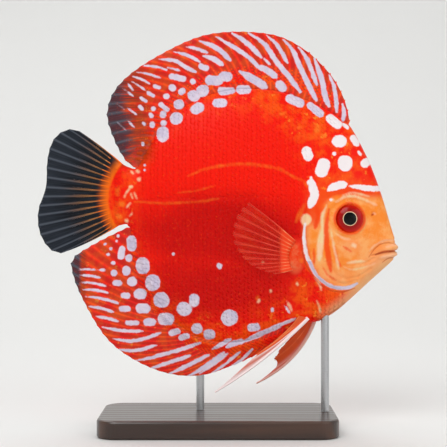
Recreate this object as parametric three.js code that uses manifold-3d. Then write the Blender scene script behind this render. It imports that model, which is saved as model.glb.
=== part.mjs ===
// A life-size discus fish, swimming level with its fins spread, held over a flat base by two short rods.
// Millimetres, +Z up, 160 from the lips to the longest tail ray. The fish faces +X, its right side is
// towards -Y, and the floor is at z = 0.
import * as THREE from "three";
import { mergeVertices } from "three/addons/utils/BufferGeometryUtils.js";
import Module from "manifold-3d";

const wasm = await Module();
wasm.setup();

// Driving dimensions
const meetingGap = 0.3; // between pieces that touch
const rimHalf = 1.5; // half thickness of the scaled ridge that a long fin grows from
const bareRimHalf = 0.55; // half thickness of the nape, throat and belly edges, which carry no fin
const webHalf = 0.26; // half thickness of a fin membrane
const gillLift = 0.6; // how far the gill cover's rear edge stands over the flank
const eye = { x: 57.6, y: 6.9, z: 93.7, radius: 7, depth: 3.6 };
const nostril = { x: 68.1, z: 95.9, radius: 0.95 };
const base = { length: 104, width: 56, height: 8, corner: 9, chamfer: 1 };
const rod = { radius: 1.8, sides: 16 };

// Half width of the body, seen from above, from the tail to the snout
const widthAt = profile([
  [-43.6, 2.5], [-36, 3.9], [-25, 6.2], [-12, 8.4], [2, 10], [18, 10.9], [34, 11],
  [46, 10.2], [57, 9], [66, 7.4], [73, 5.7], [77.5, 4.2], [79.6, 2.6],
]);

// Height of the upper and lower edges of the body without its fins, and of its widest line
const topAt = profile([
  [-43.6, 118.6], [-39.5, 116.6], [-36, 116.4], [-31.6, 124.2], [-25.8, 134], [-16.9, 143], [-5.8, 149],
  [7.6, 152.2], [23, 151.9], [37.8, 147.8], [50.7, 141.2], [58.2, 135.4], [63, 127.4], [68, 117],
  [73, 103.4], [77, 89.8], [78.4, 85.4], [79.6, 83.4],
]);
const bottomAt = profile([
  [-43.6, 90.8], [-39.6, 90.6], [-37.4, 84.5], [-34.7, 75.3], [-30.2, 62], [-23.6, 51.6], [-14.7, 43.3],
  [-3.6, 38.6], [9.8, 38], [23, 42], [33.3, 46], [40, 47.4], [46, 48.9], [53, 53.1], [60, 59.2],
  [67.6, 66.2], [73.8, 71.6], [77, 74.6], [79.6, 77.2],
]);
const widestAt = profile([
  [-43.6, 103.6], [-20, 99], [10, 94], [40, 93], [57, 92], [70, 85], [79.6, 80],
]);

// How pinched the section is towards its edges: 1 is an ellipse, 2 a wedge
const pinchAt = profile([[-43.6, 1.1], [-30, 1.35], [0, 1.45], [40, 1.4], [55, 1.15], [80, 1]]);

// Rear edge of the gill cover, from the nape round to the throat: the head ends here
const gillEdge = [
  [60, 140], [57.6, 134.5], [49.8, 123], [42.7, 112.7], [38.7, 102], [37.8, 91], [38.2, 82], [40, 74.5],
  [43.6, 68.2], [48.4, 64.2], [54.2, 62.3], [60.4, 61.6], [66, 60.5], [72, 58],
];
const tailStemStart = -36.6; // where the trunk gives way to the short tail stem

// Upper and lower fins: the line of ray roots is the body's own edge, and the margin is the line of ray tips
const dorsal = {
  margin: [
    [58.4, 136.6], [56.2, 146], [49.6, 158], [35.4, 171], [19.6, 176.4], [-5.8, 175.6], [-28.9, 165],
    [-44.4, 153], [-49.6, 141], [-46.8, 129.6], [-41.6, 119.9], [-37.2, 116.4],
  ],
  from: 58, to: -36, spines: 9, rays: 30, lean: 0.16, side: 1,
};
const anal = {
  margin: [
    [33.6, 45.2], [25.3, 38.2], [9.8, 30.2], [-8.4, 24], [-28, 26.6], [-48.2, 38.8], [-61.2, 60],
    [-65.6, 74], [-62.8, 78], [-52, 84.4], [-40.2, 90],
  ],
  from: 33, to: -39, spines: 8, rays: 30, lean: 0.14, side: -1,
};

// Smooth height over x through a few points, by cubic pieces
function profile(points) {
  const sorted = [...points].sort((a, b) => a[0] - b[0]);
  const slope = (i) => {
    const a = sorted[Math.max(i - 1, 0)];
    const b = sorted[Math.min(i + 1, sorted.length - 1)];
    return (b[1] - a[1]) / (b[0] - a[0]);
  };
  return (x) => {
    let i = 0;
    while (i < sorted.length - 2 && x > sorted[i + 1][0]) i++;
    const [x0, y0] = sorted[i];
    const [x1, y1] = sorted[i + 1];
    const span = x1 - x0;
    const t = THREE.MathUtils.clamp((x - x0) / span, 0, 1);
    const rise = t * t * (3 - 2 * t);
    const out = t * (1 - t) * (1 - t) * span * slope(i);
    const back = t * t * (t - 1) * span * slope(i + 1);
    return y0 + (y1 - y0) * rise + out + back;
  };
}

function curveThrough(points) {
  const at = points.map(([x, z]) => new THREE.Vector3(x, 0, z));
  return new THREE.CatmullRomCurve3(at, false, "centripetal");
}

function smooth(low, high, value) {
  return THREE.MathUtils.smoothstep(value, low, high);
}

// Half thickness of the edge ridge at x: thick under a long fin, thin on the bare nape and belly
function rimAt(x, upper) {
  const start = upper ? dorsal.from : anal.from;
  return THREE.MathUtils.lerp(rimHalf, bareRimHalf, smooth(start - 5, start + 3, x));
}

// Half width of the body at x and at the angle up or down from its widest line
function halfWidth(x, angle) {
  const rim = rimAt(x, angle > 0);
  const wide = Math.max(widthAt(x), rim + 0.4);
  return rim + (wide - rim) * Math.pow(Math.max(Math.cos(angle), 0), pinchAt(x));
}

// Half width of the body at a point of its side view
function flankAt(x, z) {
  const middle = widestAt(x);
  const reach = z > middle ? topAt(x) - middle : middle - bottomAt(x);
  const share = THREE.MathUtils.clamp((z - middle) / reach, -1, 1);
  return halfWidth(x, Math.asin(share));
}

// Closed mesh from rings of points that all hold the same count, with flat ends
function ringsToGeometry(rings) {
  const count = rings[0].length;
  const positions = rings.flat(2);
  const index = [];
  for (let i = 0; i + 1 < rings.length; i++) {
    for (let j = 0; j < count; j++) {
      const a = i * count + j;
      const b = i * count + ((j + 1) % count);
      index.push(a, b, a + count, b, b + count, a + count);
    }
  }
  const last = (rings.length - 1) * count;
  for (let j = 1; j + 1 < count; j++) {
    index.push(0, j + 1, j);
    index.push(last, last + j, last + j + 1);
  }
  return indexed(positions, index);
}

function indexed(positions, index) {
  const geometry = new THREE.BufferGeometry();
  geometry.setAttribute("position", new THREE.Float32BufferAttribute(positions, 3));
  geometry.setIndex(index);
  return geometry;
}

function toSolid(geometry) {
  const bare = geometry.clone();
  bare.deleteAttribute("normal");
  bare.deleteAttribute("uv");
  const merged = mergeVertices(bare, 1e-4);
  const solid = new wasm.Manifold(new wasm.Mesh({
    numProp: 3,
    vertProperties: merged.attributes.position.array,
    triVerts: new Uint32Array(merged.index.array),
  }));
  if (solid.volume() > 0) return solid;
  const index = Array.from(merged.index.array);
  for (let i = 0; i < index.length; i += 3) [index[i], index[i + 1]] = [index[i + 1], index[i]];
  return toSolid(indexed(Array.from(merged.attributes.position.array), index));
}

function toGeometry(solid) {
  const mesh = solid.getMesh();
  const positions = [];
  for (let i = 0; i < mesh.numVert; i++) {
    positions.push(...mesh.vertProperties.slice(i * mesh.numProp, i * mesh.numProp + 3));
  }
  return indexed(positions, Array.from(mesh.triVerts));
}

// The one largest closed surface of a solid, so that a scrap or a sealed hollow goes
function largest(solid) {
  return solid.decompose().sort((a, b) => b.volume() - a.volume())[0];
}

// The trunk and head as one closed form. grow swells it evenly, and lift raises the gill covers.
function bodySolid({ grow = 0, lift = 0, from = -43.6, to = 79.2, stations = 48, across = 9 } = {}) {
  const rings = [];
  for (let i = 0; i <= stations; i++) {
    const share = i / stations;
    const x = THREE.MathUtils.lerp(from, to, share + 0.06 * Math.sin(2 * Math.PI * share));
    const middle = widestAt(x);
    const right = [];
    for (let j = 0; j <= across; j++) {
      const angle = Math.PI * (0.5 - j / across);
      const reach = angle > 0 ? topAt(x) - middle : middle - bottomAt(x);
      const z = middle + (reach + grow) * Math.sin(angle);
      right.push([x, halfWidth(x, angle) + grow + lift * gillShape(x, z), z]);
    }
    const left = right.map(([px, y, z]) => [px, -y, z]).reverse();
    rings.push([...right, ...left]);
  }
  return toSolid(ringsToGeometry(rings));
}

// A solid spread by a small distance along each axis, to cut a clear gap from what meets it
function swollen(solid, by = meetingGap) {
  const steps = [[by, 0, 0], [-by, 0, 0], [0, by, 0], [0, -by, 0], [0, 0, by], [0, 0, -by]];
  return steps.reduce((all, step) => all.add(solid.translate(step)), solid);
}

// 1 on the gill cover near its rear edge, 0 on the forehead and snout
function gillShape(x, z) {
  const along = smooth(62, 48, x);
  const below = smooth(112, 98, z);
  const above = smooth(58, 66, z);
  return along * below * above;
}

// A plate cut from a side-view outline, right through the fish
function sideCut(outline, reach = 40) {
  const shape = new THREE.Shape(outline.map(([x, z]) => new THREE.Vector2(x, z)));
  const plate = new THREE.ExtrudeGeometry(shape, { depth: 2 * reach, bevelEnabled: false });
  plate.rotateX(Math.PI / 2);
  plate.translate(0, reach, 0);
  return toSolid(plate);
}

// The region ahead of the gill edge, moved forward by the gap
function headRegion(shift) {
  const edge = curveThrough(gillEdge).getSpacedPoints(34).map((p) => [p.x + shift, p.z]);
  return sideCut([...edge, [95, 50], [95, 150]]);
}

function ellipsoid(x, y, z, rx, ry, rz, segments = 20) {
  const ball = new THREE.SphereGeometry(1, segments, Math.round(segments * 0.6));
  ball.scale(rx, ry, rz);
  ball.translate(x, y, z);
  return toSolid(ball);
}

// One lip: a tapered roll from the corner of the mouth, round the front, to the other corner
function lipSolid({ front, z, radius, half, drop, back }) {
  const rings = [];
  const steps = 14;
  for (let i = 0; i <= steps; i++) {
    const turn = THREE.MathUtils.lerp(-1, 1, i / steps);
    const angle = turn * Math.PI * 0.5;
    const thick = radius * (1 - 0.45 * turn * turn);
    const centre = [front - back * (1 - Math.cos(angle)), half * Math.sin(angle), z - drop * turn * turn];
    const ring = [];
    for (let k = 0; k < 8; k++) {
      const around = (2 * Math.PI * k) / 8;
      const out = thick * Math.cos(around);
      ring.push([
        centre[0] + out * Math.cos(angle),
        centre[1] + out * Math.sin(angle),
        centre[2] + thick * Math.sin(around),
      ]);
    }
    rings.push(ring);
  }
  return toSolid(ringsToGeometry(rings));
}

// The line of the mouth in side view, as a thin slit that sinks from the lips to the corner
const mouthLine = [[68.4, 77.6], [71, 78.1], [75, 78.9], [82, 79.6]];
const mouthSlit = 0.5;

function mouthCut() {
  const line = curveThrough(mouthLine).getPoints(8).map((p) => [p.x, p.z]);
  const halfSlit = (i) => (mouthSlit / 2) * Math.min(i / 2, 1);
  const upper = line.map(([x, z], i) => [x, z + halfSlit(i)]);
  const lower = line.map(([x, z], i) => [x, z - halfSlit(i)]).slice(1).reverse();
  return sideCut([...upper, ...lower]);
}

function headSolid() {
  const whole = bodySolid({ lift: gillLift, from: 30, stations: 26, across: 10 });
  let head = whole.intersect(headRegion(meetingGap / 2));
  const upperLip = { front: 78.35, z: 81.4, radius: 1.65, half: 3.6, drop: 1.6, back: 5 };
  const lowerLip = { front: 78.4, z: 77.9, radius: 1.5, half: 3.4, drop: 0.9, back: 5 };
  head = head.add(lipSolid(upperLip)).add(lipSolid(lowerLip)).subtract(mouthCut());
  for (const side of [-1, 1]) {
    const nostrilY = side * (flankAt(nostril.x, nostril.z) + 0.25);
    const socket = [eye.radius, eye.depth, eye.radius].map((r) => r + meetingGap);
    head = head.subtract(ellipsoid(nostril.x, nostrilY, nostril.z, 1.2, nostril.radius, nostril.radius, 10));
    head = head.subtract(ellipsoid(eye.x, side * eye.y, eye.z, ...socket, 20));
  }
  return largest(head);
}

function trunkSolid() {
  const front = tailStemStart + meetingGap / 2;
  const stem = sideCut([[-60, 60], [front, 60], [front, 140], [-60, 140]]);
  return largest(bodySolid().subtract(headRegion(-meetingGap / 2)).subtract(stem));
}

function tailStemSolid() {
  const rear = tailStemStart - meetingGap / 2;
  return largest(bodySolid().intersect(sideCut([[-60, 60], [rear, 60], [rear, 140], [-60, 140]])));
}

// A fin as one sheet with its rays raised on both faces. rays is a list of { path, thick, root, reach },
// each path giving the ray's points from root to tip in 3D. A column of web lies between two rays.
function finSolid(rays, { steps = 6, notch = 0.3, rootFade = 3.5 } = {}) {
  const columns = [];
  rays.forEach((ray, i) => {
    columns.push({ ...ray, isRay: true });
    if (i + 1 < rays.length) columns.push({ isRay: false, before: ray, after: rays[i + 1] });
  });
  const front = [];
  const rear = [];
  for (const column of columns) {
    for (let j = 0; j <= steps; j++) {
      const v = j / steps;
      const place = column.isRay ? rayPoint(column, v, rootFade) : webPoint(column, v, rootFade, notch);
      const { centre, half, out } = place;
      front.push(centre.clone().addScaledVector(out, half));
      rear.push(centre.clone().addScaledVector(out, -half));
    }
  }
  const row = steps + 1;
  const offset = front.length;
  const index = [];
  for (let i = 0; i + 1 < columns.length; i++) {
    for (let j = 0; j < steps; j++) {
      const a = i * row + j;
      const b = a + row;
      index.push(a, b, a + 1, b, b + 1, a + 1);
      index.push(offset + a, offset + a + 1, offset + b, offset + b, offset + a + 1, offset + b + 1);
    }
  }
  const wall = (b, a) => index.push(a, offset + a, b, b, offset + a, offset + b);
  const lastColumn = (columns.length - 1) * row;
  for (let j = 0; j < steps; j++) {
    wall(j, j + 1);
    wall(lastColumn + j + 1, lastColumn + j);
  }
  for (let i = 0; i + 1 < columns.length; i++) {
    wall((i + 1) * row, i * row);
    wall(i * row + steps, (i + 1) * row + steps);
  }
  const positions = [...front, ...rear].flatMap((p) => [p.x, p.y, p.z]);
  return toSolid(indexed(positions, index));
}

function rayPoint(ray, v, rootFade) {
  const centre = ray.path(v);
  const length = ray.length;
  const fade = Math.exp((-v * length) / rootFade);
  const half = webHalf + ray.thick * (1 - 0.6 * v) + (ray.root - webHalf) * fade;
  return { centre, half, out: ray.out };
}

function webPoint({ before, after }, v, rootFade, notch) {
  const pull = 1 - (notch * v * v) / Math.max(before.length, after.length, 4);
  const centre = before.path(v * pull).lerp(after.path(v * pull), 0.5);
  const length = (before.length + after.length) / 2;
  const root = (before.root + after.root) / 2;
  const half = webHalf + (root - webHalf) * Math.exp((-v * length) / rootFade);
  return { centre, half, out: before.out.clone().add(after.out).normalize() };
}

// A ray that leaves its root steeply and bends back towards its tip, waved sideways by sway
function bentRay({ root, tip, bend, sway = () => 0, thick, rootHalf, out = new THREE.Vector3(0, 1, 0) }) {
  const start = new THREE.Vector3(...root);
  const end = new THREE.Vector3(...tip);
  const control = start.clone().lerp(end, 0.5).add(new THREE.Vector3(...bend));
  const line = new THREE.QuadraticBezierCurve3(start, control, end);
  const path = (v) => line.getPoint(v).addScaledVector(out, sway(v));
  return { path, length: start.distanceTo(end), thick, root: rootHalf, out };
}

// The long fins over and under the body
function longFinRays({ margin, from, to, spines, rays, lean, side }) {
  const edgeAt = side > 0 ? topAt : bottomAt;
  const rim = curveThrough(margin);
  const count = spines + rays;
  const made = [];
  for (let i = 0; i < count; i++) {
    const share = i / (count - 1);
    const x = THREE.MathUtils.lerp(from, to, share);
    const slope = (edgeAt(x + 0.2) - edgeAt(x - 0.2)) / 0.4;
    const away = new THREE.Vector2(-slope, 1).normalize().multiplyScalar(-0.4 * side);
    const root = [x + away.x, 0, edgeAt(x) + away.y];
    const tip = rim.getPointAt(THREE.MathUtils.lerp(0.004, 0.996, share));
    const length = Math.hypot(tip.x - root[0], tip.z - root[2]);
    const isSpine = i < spines;
    const past = isSpine ? 0.7 / Math.max(length, 3) : 0;
    made.push(bentRay({
      root,
      tip: [tip.x + (tip.x - root[0]) * past, 0, tip.z + (tip.z - root[2]) * past],
      bend: [lean * length, 0, lean * length * side],
      sway: (v) => 0.9 * v * v * Math.sin(share * 15) * smooth(0.25, 0.6, share) * Math.min(length / 15, 1),
      thick: isSpine ? 0.42 : 0.3,
      rootHalf: rimAt(x, side > 0) * 0.96,
    }));
  }
  return made;
}

// The tail fin: a fan from the end of the tail stem
const caudal = {
  margin: [
    [-62, 132.8], [-67.4, 133.6], [-72.4, 130.4], [-75, 125.4], [-76.2, 118], [-76.2, 109.4], [-77.6, 103.6],
    [-79.6, 98.4], [-80, 92], [-78.8, 86.2], [-76, 81.4], [-71.6, 78.2], [-66, 79.8],
  ],
  rootX: -43.6, rootTop: 118.2, rootBottom: 91.4, rays: 18,
};

function caudalRays() {
  const rim = curveThrough(caudal.margin);
  const made = [];
  for (let i = 0; i < caudal.rays; i++) {
    const share = i / (caudal.rays - 1);
    const z = THREE.MathUtils.lerp(caudal.rootTop, caudal.rootBottom, share);
    const tip = rim.getPointAt(share);
    const spread = 1 - 2 * share;
    made.push(bentRay({
      root: [caudal.rootX - meetingGap - 0.05, 0, z],
      tip: [tip.x, 0, tip.z],
      bend: [0.5 * Math.abs(spread), 0, (spread > 0 ? 0.9 : 1.6) * spread],
      sway: (v) => 1.6 * v * v * Math.sin(share * 7 + 0.6),
      thick: 0.34,
      rootHalf: flankAt(caudal.rootX, z) * 0.94,
    }));
  }
  return made;
}

// A pectoral fin: a fleshy pad just behind the gill cover, and a fan that stands off the flank
const pectoral = {
  pad: { x: 33.6, z: 77.6, along: 4.4, deep: 2.2, tall: 7 },
  roots: [[30.6, 84], [28.6, 81], [27.6, 77.4], [28, 74], [29.4, 71.4]],
  margin: [
    [13.2, 100.6], [9.2, 97], [6.8, 91.4], [6.4, 85.4], [8.6, 80], [13, 74.6], [19.4, 71.2], [24.6, 69.6],
  ],
  rays: 12,
  standOff: 8, // how far the tips stand out from the flank
};

function pectoralSolid(side) {
  const roots = curveThrough(pectoral.roots);
  const rim = curveThrough(pectoral.margin);
  const { pad } = pectoral;
  const flank = flankAt(pad.x, pad.z);
  const padY = side * (flank + 0.9);
  const out = new THREE.Vector3(0.3, side * 0.95, 0).normalize();
  const rays = [];
  for (let i = 0; i < pectoral.rays; i++) {
    const share = i / (pectoral.rays - 1);
    const root = roots.getPointAt(share);
    const tip = rim.getPointAt(share);
    const length = root.distanceTo(tip);
    rays.push(bentRay({
      root: [root.x + 1.6, padY + side * 0.3, root.z],
      tip: [tip.x, side * (flank + 1.2 + (pectoral.standOff * length) / 26), tip.z],
      bend: [0, side * 0.8, 0.04 * length * (1 - 2 * share)],
      sway: (v) => 0.35 * v * v * Math.sin(share * 9),
      thick: 0.22,
      rootHalf: 0.8,
      out,
    }));
  }
  const fan = finSolid(rays, { steps: 6, notch: 0.9, rootFade: 2.2 });
  const lobe = ellipsoid(pad.x, padY, pad.z, pad.along, pad.deep, pad.tall, 16);
  const whole = lobe.add(fan);
  return largest(whole.subtract(bodyClearance).subtract(headClearance));
}

// A pelvic fin: a long leading ray, then shorter ones joined by web
const pelvic = {
  right: {
    root: [38.9, -3, 49.2],
    tips: [
      [-1.6, -11, 18], [15, -8.8, 32.4], [17.2, -7.8, 34.6], [21, -6.6, 37], [25, -5.6, 39.8],
      [29.6, -4.8, 42.8],
    ],
    bend: [1.2, 0, -3.6],
  },
  left: {
    root: [43.2, 2.8, 50.2],
    tips: [
      [17.2, 12.5, 18.9], [26.2, 10.6, 26.4], [25.2, 9.6, 30.4], [27.4, 8.6, 34.4], [31, 7.4, 38.4],
      [35.2, 6.2, 42.6],
    ],
    bend: [7.4, 0, -5.4],
  },
  rootSpread: 0.75,
};

function pelvicSolid({ root, tips, bend }, side) {
  const rays = tips.map((tip, i) => {
    const spread = pelvic.rootSpread * i;
    const ease = 1 - i / tips.length;
    return bentRay({
      root: [root[0] - spread, root[1] + side * 0.1 * i, root[2] + 0.25 * spread],
      tip,
      bend: bend.map((b) => b * ease * ease),
      thick: i === 0 ? 0.5 : 0.24,
      rootHalf: 0.75,
      out: new THREE.Vector3(0.12, 0.95, 0.3).normalize(),
    });
  });
  const fan = finSolid(rays, { steps: 9, notch: 3, rootFade: 5 });
  const knuckle = ellipsoid(root[0] - 1.2, root[1], root[2] + 0.4, 3.2, 1.2, 1.5, 12);
  return largest(knuckle.add(fan).subtract(bodyClearance).subtract(headClearance));
}

// A long fin cut back to stand clear of the body's edge all along its root
function longFinSolid(fin) {
  return largest(finSolid(longFinRays(fin)).subtract(bodyClearance));
}

function eyeSolid(side) {
  return ellipsoid(eye.x, side * eye.y, eye.z, eye.radius, eye.depth, eye.radius, 20);
}

// The stand: a flat base with round corners and a small chamfer, and two upright rods
const rods = [
  { name: "stand_rod_front", x: 47.5, y: 0, top: 62 },
  { name: "stand_rod_rear", x: -8, y: 4.7, top: 70 },
];

function baseGeometry() {
  const { length, width, height, corner, chamfer } = base;
  const [a, b, r] = [length / 2 - chamfer, width / 2 - chamfer, corner - chamfer];
  const shape = new THREE.Shape();
  shape.absarc(a - r, b - r, r, 0, Math.PI / 2);
  shape.absarc(-a + r, b - r, r, Math.PI / 2, Math.PI);
  shape.absarc(-a + r, -b + r, r, Math.PI, 1.5 * Math.PI);
  shape.absarc(a - r, -b + r, r, 1.5 * Math.PI, 2 * Math.PI);
  const block = new THREE.ExtrudeGeometry(shape, {
    depth: height - 2 * chamfer,
    bevelThickness: chamfer,
    bevelSize: chamfer,
    bevelSegments: 2,
    curveSegments: 6,
  });
  return block.translate(0, 0, chamfer);
}

function rodSolid({ x, y, top }) {
  const bottom = base.height + meetingGap;
  const bar = new THREE.CylinderGeometry(rod.radius, rod.radius, top - bottom, rod.sides);
  bar.rotateX(Math.PI / 2);
  bar.translate(x, y, (top + bottom) / 2);
  return largest(toSolid(bar).subtract(bodyClearance).subtract(headClearance));
}

function finish(color, roughness, metalness = 0) {
  return new THREE.MeshStandardMaterial({ color, roughness, metalness });
}

const flesh = finish(0xe32410, 0.35);
const face = finish(0xf08a3c, 0.35);
const spottedFin = finish(0xd8331c, 0.4);
const clearFin = finish(0x4a5360, 0.4);
const eyeGloss = finish(0x7a0f08, 0.1);
const wood = finish(0x3a261b, 0.45);
const steel = finish(0xb9bcc0, 0.3, 1);

const bodyClearance = swollen(bodySolid());
const headClearance = swollen(bodySolid({ lift: gillLift, from: 30, stations: 26, across: 10 })
  .intersect(headRegion(meetingGap / 2)));
const fish = new THREE.Group();
const stand = new THREE.Group();

function put(group, name, shape, material) {
  const geometry = shape.isBufferGeometry ? shape : toGeometry(shape);
  const mesh = new THREE.Mesh(geometry, material);
  mesh.name = name;
  group.add(mesh);
}

put(fish, "head", headSolid(), face);
put(fish, "trunk", trunkSolid(), flesh);
put(fish, "tail_stem", tailStemSolid(), flesh);
put(fish, "dorsal_fin", longFinSolid(dorsal), spottedFin);
put(fish, "anal_fin", longFinSolid(anal), spottedFin);
put(fish, "tail_fin", finSolid(caudalRays(), { steps: 7, notch: 0.15 }), clearFin);
put(fish, "pelvic_fin_right", pelvicSolid(pelvic.right, -1), spottedFin);
put(fish, "pelvic_fin_left", pelvicSolid(pelvic.left, 1), spottedFin);
for (const [name, side] of [["right", -1], ["left", 1]]) {
  put(fish, `pectoral_fin_${name}`, pectoralSolid(side), face);
  put(fish, `eye_${name}`, eyeSolid(side), eyeGloss);
}
put(stand, "stand_base", baseGeometry(), wood);
for (const place of rods) put(stand, place.name, rodSolid(place), steel);

// The whole length is centred over the base
const reach = new THREE.Box3().setFromObject(fish);
const middle = (reach.min.x + reach.max.x) / 2;
const model = new THREE.Group();
model.add(fish, stand);
fish.position.x = -middle;
for (const piece of stand.children) {
  if (piece.name !== "stand_base") piece.position.x = -middle;
}

export default model;
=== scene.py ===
# A life-size discus fish on a plain stand, with its skin, scales, rayed fins and markings.
# Shapes are worked out in millimetres and turned to metres where each mesh is made.
import math

import bpy
import numpy as np
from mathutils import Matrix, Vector


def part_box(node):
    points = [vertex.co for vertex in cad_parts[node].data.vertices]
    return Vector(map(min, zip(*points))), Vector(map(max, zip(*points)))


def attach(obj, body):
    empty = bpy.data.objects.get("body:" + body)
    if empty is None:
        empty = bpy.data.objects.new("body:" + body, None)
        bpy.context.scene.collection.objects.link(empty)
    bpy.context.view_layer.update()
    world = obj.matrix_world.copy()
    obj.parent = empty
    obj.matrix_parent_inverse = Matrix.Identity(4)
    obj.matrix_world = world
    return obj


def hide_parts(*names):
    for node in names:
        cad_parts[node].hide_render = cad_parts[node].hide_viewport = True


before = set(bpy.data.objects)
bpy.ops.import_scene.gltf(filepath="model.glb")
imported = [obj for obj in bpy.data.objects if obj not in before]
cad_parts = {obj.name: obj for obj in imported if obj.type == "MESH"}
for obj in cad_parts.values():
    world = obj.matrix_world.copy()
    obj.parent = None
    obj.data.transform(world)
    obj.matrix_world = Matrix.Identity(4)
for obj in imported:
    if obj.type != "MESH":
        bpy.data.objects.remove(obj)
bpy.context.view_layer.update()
mm = 0.001

body = {
    "eyeX": 57.6, "eyeY": 6.9, "eyeZ": 93.7, "eyeRadius": 7.0, "eyeDepth": 3.6,  # as in the solids
    "rim": 1.5, "bareRim": 0.55,  # half thickness of the body's edge with and without a long fin
    "gillLift": 0.6, "noseX": 79.6,
}
eyeLow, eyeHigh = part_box("eye_right")
shiftX = (eyeLow.x + eyeHigh.x) / 2 / mm - body["eyeX"]

photo = {"middleX": 218, "lowestY": 389, "lowestZ": 18.0, "mmPerPixel": 0.4444}


def fromPhoto(x, y):
    scale = photo["mmPerPixel"]
    return (x - photo["middleX"]) * scale, photo["lowestZ"] + (photo["lowestY"] - y) * scale


def photoLine(numbers):
    # x and y of each point in turn
    return [fromPhoto(*place) for place in zip(numbers[::2], numbers[1::2])]


def smooth(low, high, value):
    t = np.clip((np.asarray(value, float) - low) / (high - low), 0, 1)
    return t * t * (3 - 2 * t)


def profile(points):
    # a smooth height over x through a few points
    points = sorted(points)
    xs = np.array([p[0] for p in points], float)
    ys = np.array([p[1] for p in points], float)
    before = np.maximum(np.arange(len(xs)) - 1, 0)
    after = np.minimum(np.arange(len(xs)) + 1, len(xs) - 1)
    slope = (ys[after] - ys[before]) / (xs[after] - xs[before])

    def at(x):
        x = np.asarray(x, float)
        i = np.clip(np.searchsorted(xs, x, side="right") - 1, 0, len(xs) - 2)
        span = xs[i + 1] - xs[i]
        t = np.clip((x - xs[i]) / span, 0, 1)
        rise = t * t * (3 - 2 * t)
        out = t * (1 - t) ** 2 * span * slope[i]
        back = t * t * (t - 1) * span * slope[i + 1]
        return ys[i] + (ys[i + 1] - ys[i]) * rise + out + back

    return at


def curvePoints(points, count):
    # points evenly spaced along a smooth curve through the given ones
    given = np.array(points, float)
    padded = np.vstack([2 * given[0] - given[1], given, 2 * given[-1] - given[-2]])
    dense = []
    for i in range(len(given) - 1):
        a, b, c, d = padded[i:i + 4]
        for t in np.linspace(0, 1, 24, endpoint=False):
            dense.append(0.5 * (2 * b + (c - a) * t + (2 * a - 5 * b + 4 * c - d) * t ** 2
                                + (3 * b - a - 3 * c + d) * t ** 3))
    dense.append(given[-1])
    dense = np.array(dense)
    run = np.concatenate([[0], np.cumsum(np.linalg.norm(np.diff(dense, axis=0), axis=1))])
    want = np.linspace(0, run[-1], count)
    return np.stack([np.interp(want, run, dense[:, k]) for k in range(dense.shape[1])], 1)


def plainMesh(name, points, faces, edges=()):
    mesh = bpy.data.meshes.new(name)
    placed = np.array(points, float)
    placed[:, 0] += shiftX
    mesh.from_pydata((placed * mm).tolist(), list(edges), [list(f) for f in faces])
    mesh.update()
    piece = bpy.data.objects.new(name, mesh)
    bpy.context.collection.objects.link(piece)
    return piece


def shadeSmooth(piece):
    piece.data.polygons.foreach_set("use_smooth", [True] * len(piece.data.polygons))
    piece.data.update()


def meshPoints(mesh):
    flat = np.empty(len(mesh.vertices) * 3, np.float32)
    mesh.vertices.foreach_get("co", flat)
    points = flat.reshape(-1, 3).astype(float) / mm
    points[:, 0] -= shiftX
    return points


def keepFloat(mesh, name, values):
    layer = mesh.attributes.get(name) or mesh.attributes.new(name, "FLOAT", "POINT")
    layer.data.foreach_set("value", np.asarray(values, np.float32))


def readFloat(mesh, name):
    values = np.empty(len(mesh.vertices), np.float32)
    mesh.attributes[name].data.foreach_get("value", values)
    return values


# The body's form, as in the solids

widthAt = profile([
    (-47.8, 0.4), (-45.6, 1.4), (-43.6, 2.5), (-36, 3.9), (-25, 6.2), (-12, 8.4), (2, 10), (18, 10.9),
    (34, 11), (46, 10.2), (57, 9), (66, 7.4), (73, 5.7), (77.5, 4.2), (79.6, 2.6),
])
topAt = profile([
    (-47.8, 121), (-45.8, 119.8), (-43.6, 118.6), (-39.5, 116.6), (-36, 116.4), (-31.6, 124.2), (-25.8, 134),
    (-16.9, 143), (-5.8, 149), (7.6, 152.2), (23, 151.9), (37.8, 147.8), (50.7, 141.2), (58.2, 135.4),
    (63, 127.4), (68, 117), (73, 103.4), (77, 89.8), (78.4, 85.4), (79.6, 83.4),
])
bottomAt = profile([
    (-47.8, 89.6), (-43.6, 90.8), (-39.6, 90.6), (-37.4, 84.5), (-34.7, 75.3), (-30.2, 62), (-23.6, 51.6),
    (-14.7, 43.3), (-3.6, 38.6), (9.8, 38), (23, 42), (33.3, 46), (40, 47.4), (46, 48.9), (53, 53.1),
    (60, 59.2), (67.6, 66.2), (73.8, 71.6), (77, 74.6), (79.6, 77.2),
])
widestAt = profile([(-43.6, 103.6), (-20, 99), (10, 94), (40, 93), (57, 92), (70, 85), (79.6, 80)])
pinchAt = profile([(-43.6, 1.1), (-30, 1.35), (0, 1.45), (40, 1.4), (55, 1.15), (80, 1)])

gillEdge = [
    (60, 140), (57.6, 134.5), (49.8, 123), (42.7, 112.7), (38.7, 102), (37.8, 91), (38.2, 82), (40, 74.5),
    (43.6, 68.2), (48.4, 64.2), (54.2, 62.3), (60.4, 61.6), (66, 60.5), (72, 58),
]
mouthLine = [(66.8, 77.3), (70, 77.9), (74, 78.7), (78, 79.3), (82, 79.6)]
cheekFolds = [
    (324.8, 206.2, 319.6, 223.5, 320.2, 230.4, 317.9, 245.3, 321, 262),
    (328.2, 230.4, 330.5, 241.8, 337.4, 259, 352, 262), (394.8, 239.5, 381, 241.8, 368.4, 252),
    (345.4, 264.5, 363.8, 262.8, 374, 257), (334, 232, 342, 238.6, 352, 240.4, 361, 236),
    (332, 206, 342.8, 200.4, 352, 199.4, 364, 203, 374, 208),
    (327, 262, 334, 273, 345, 278.6, 358, 276, 370, 268), (324, 270, 330, 279, 342, 283.4, 354, 280),
]


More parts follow.
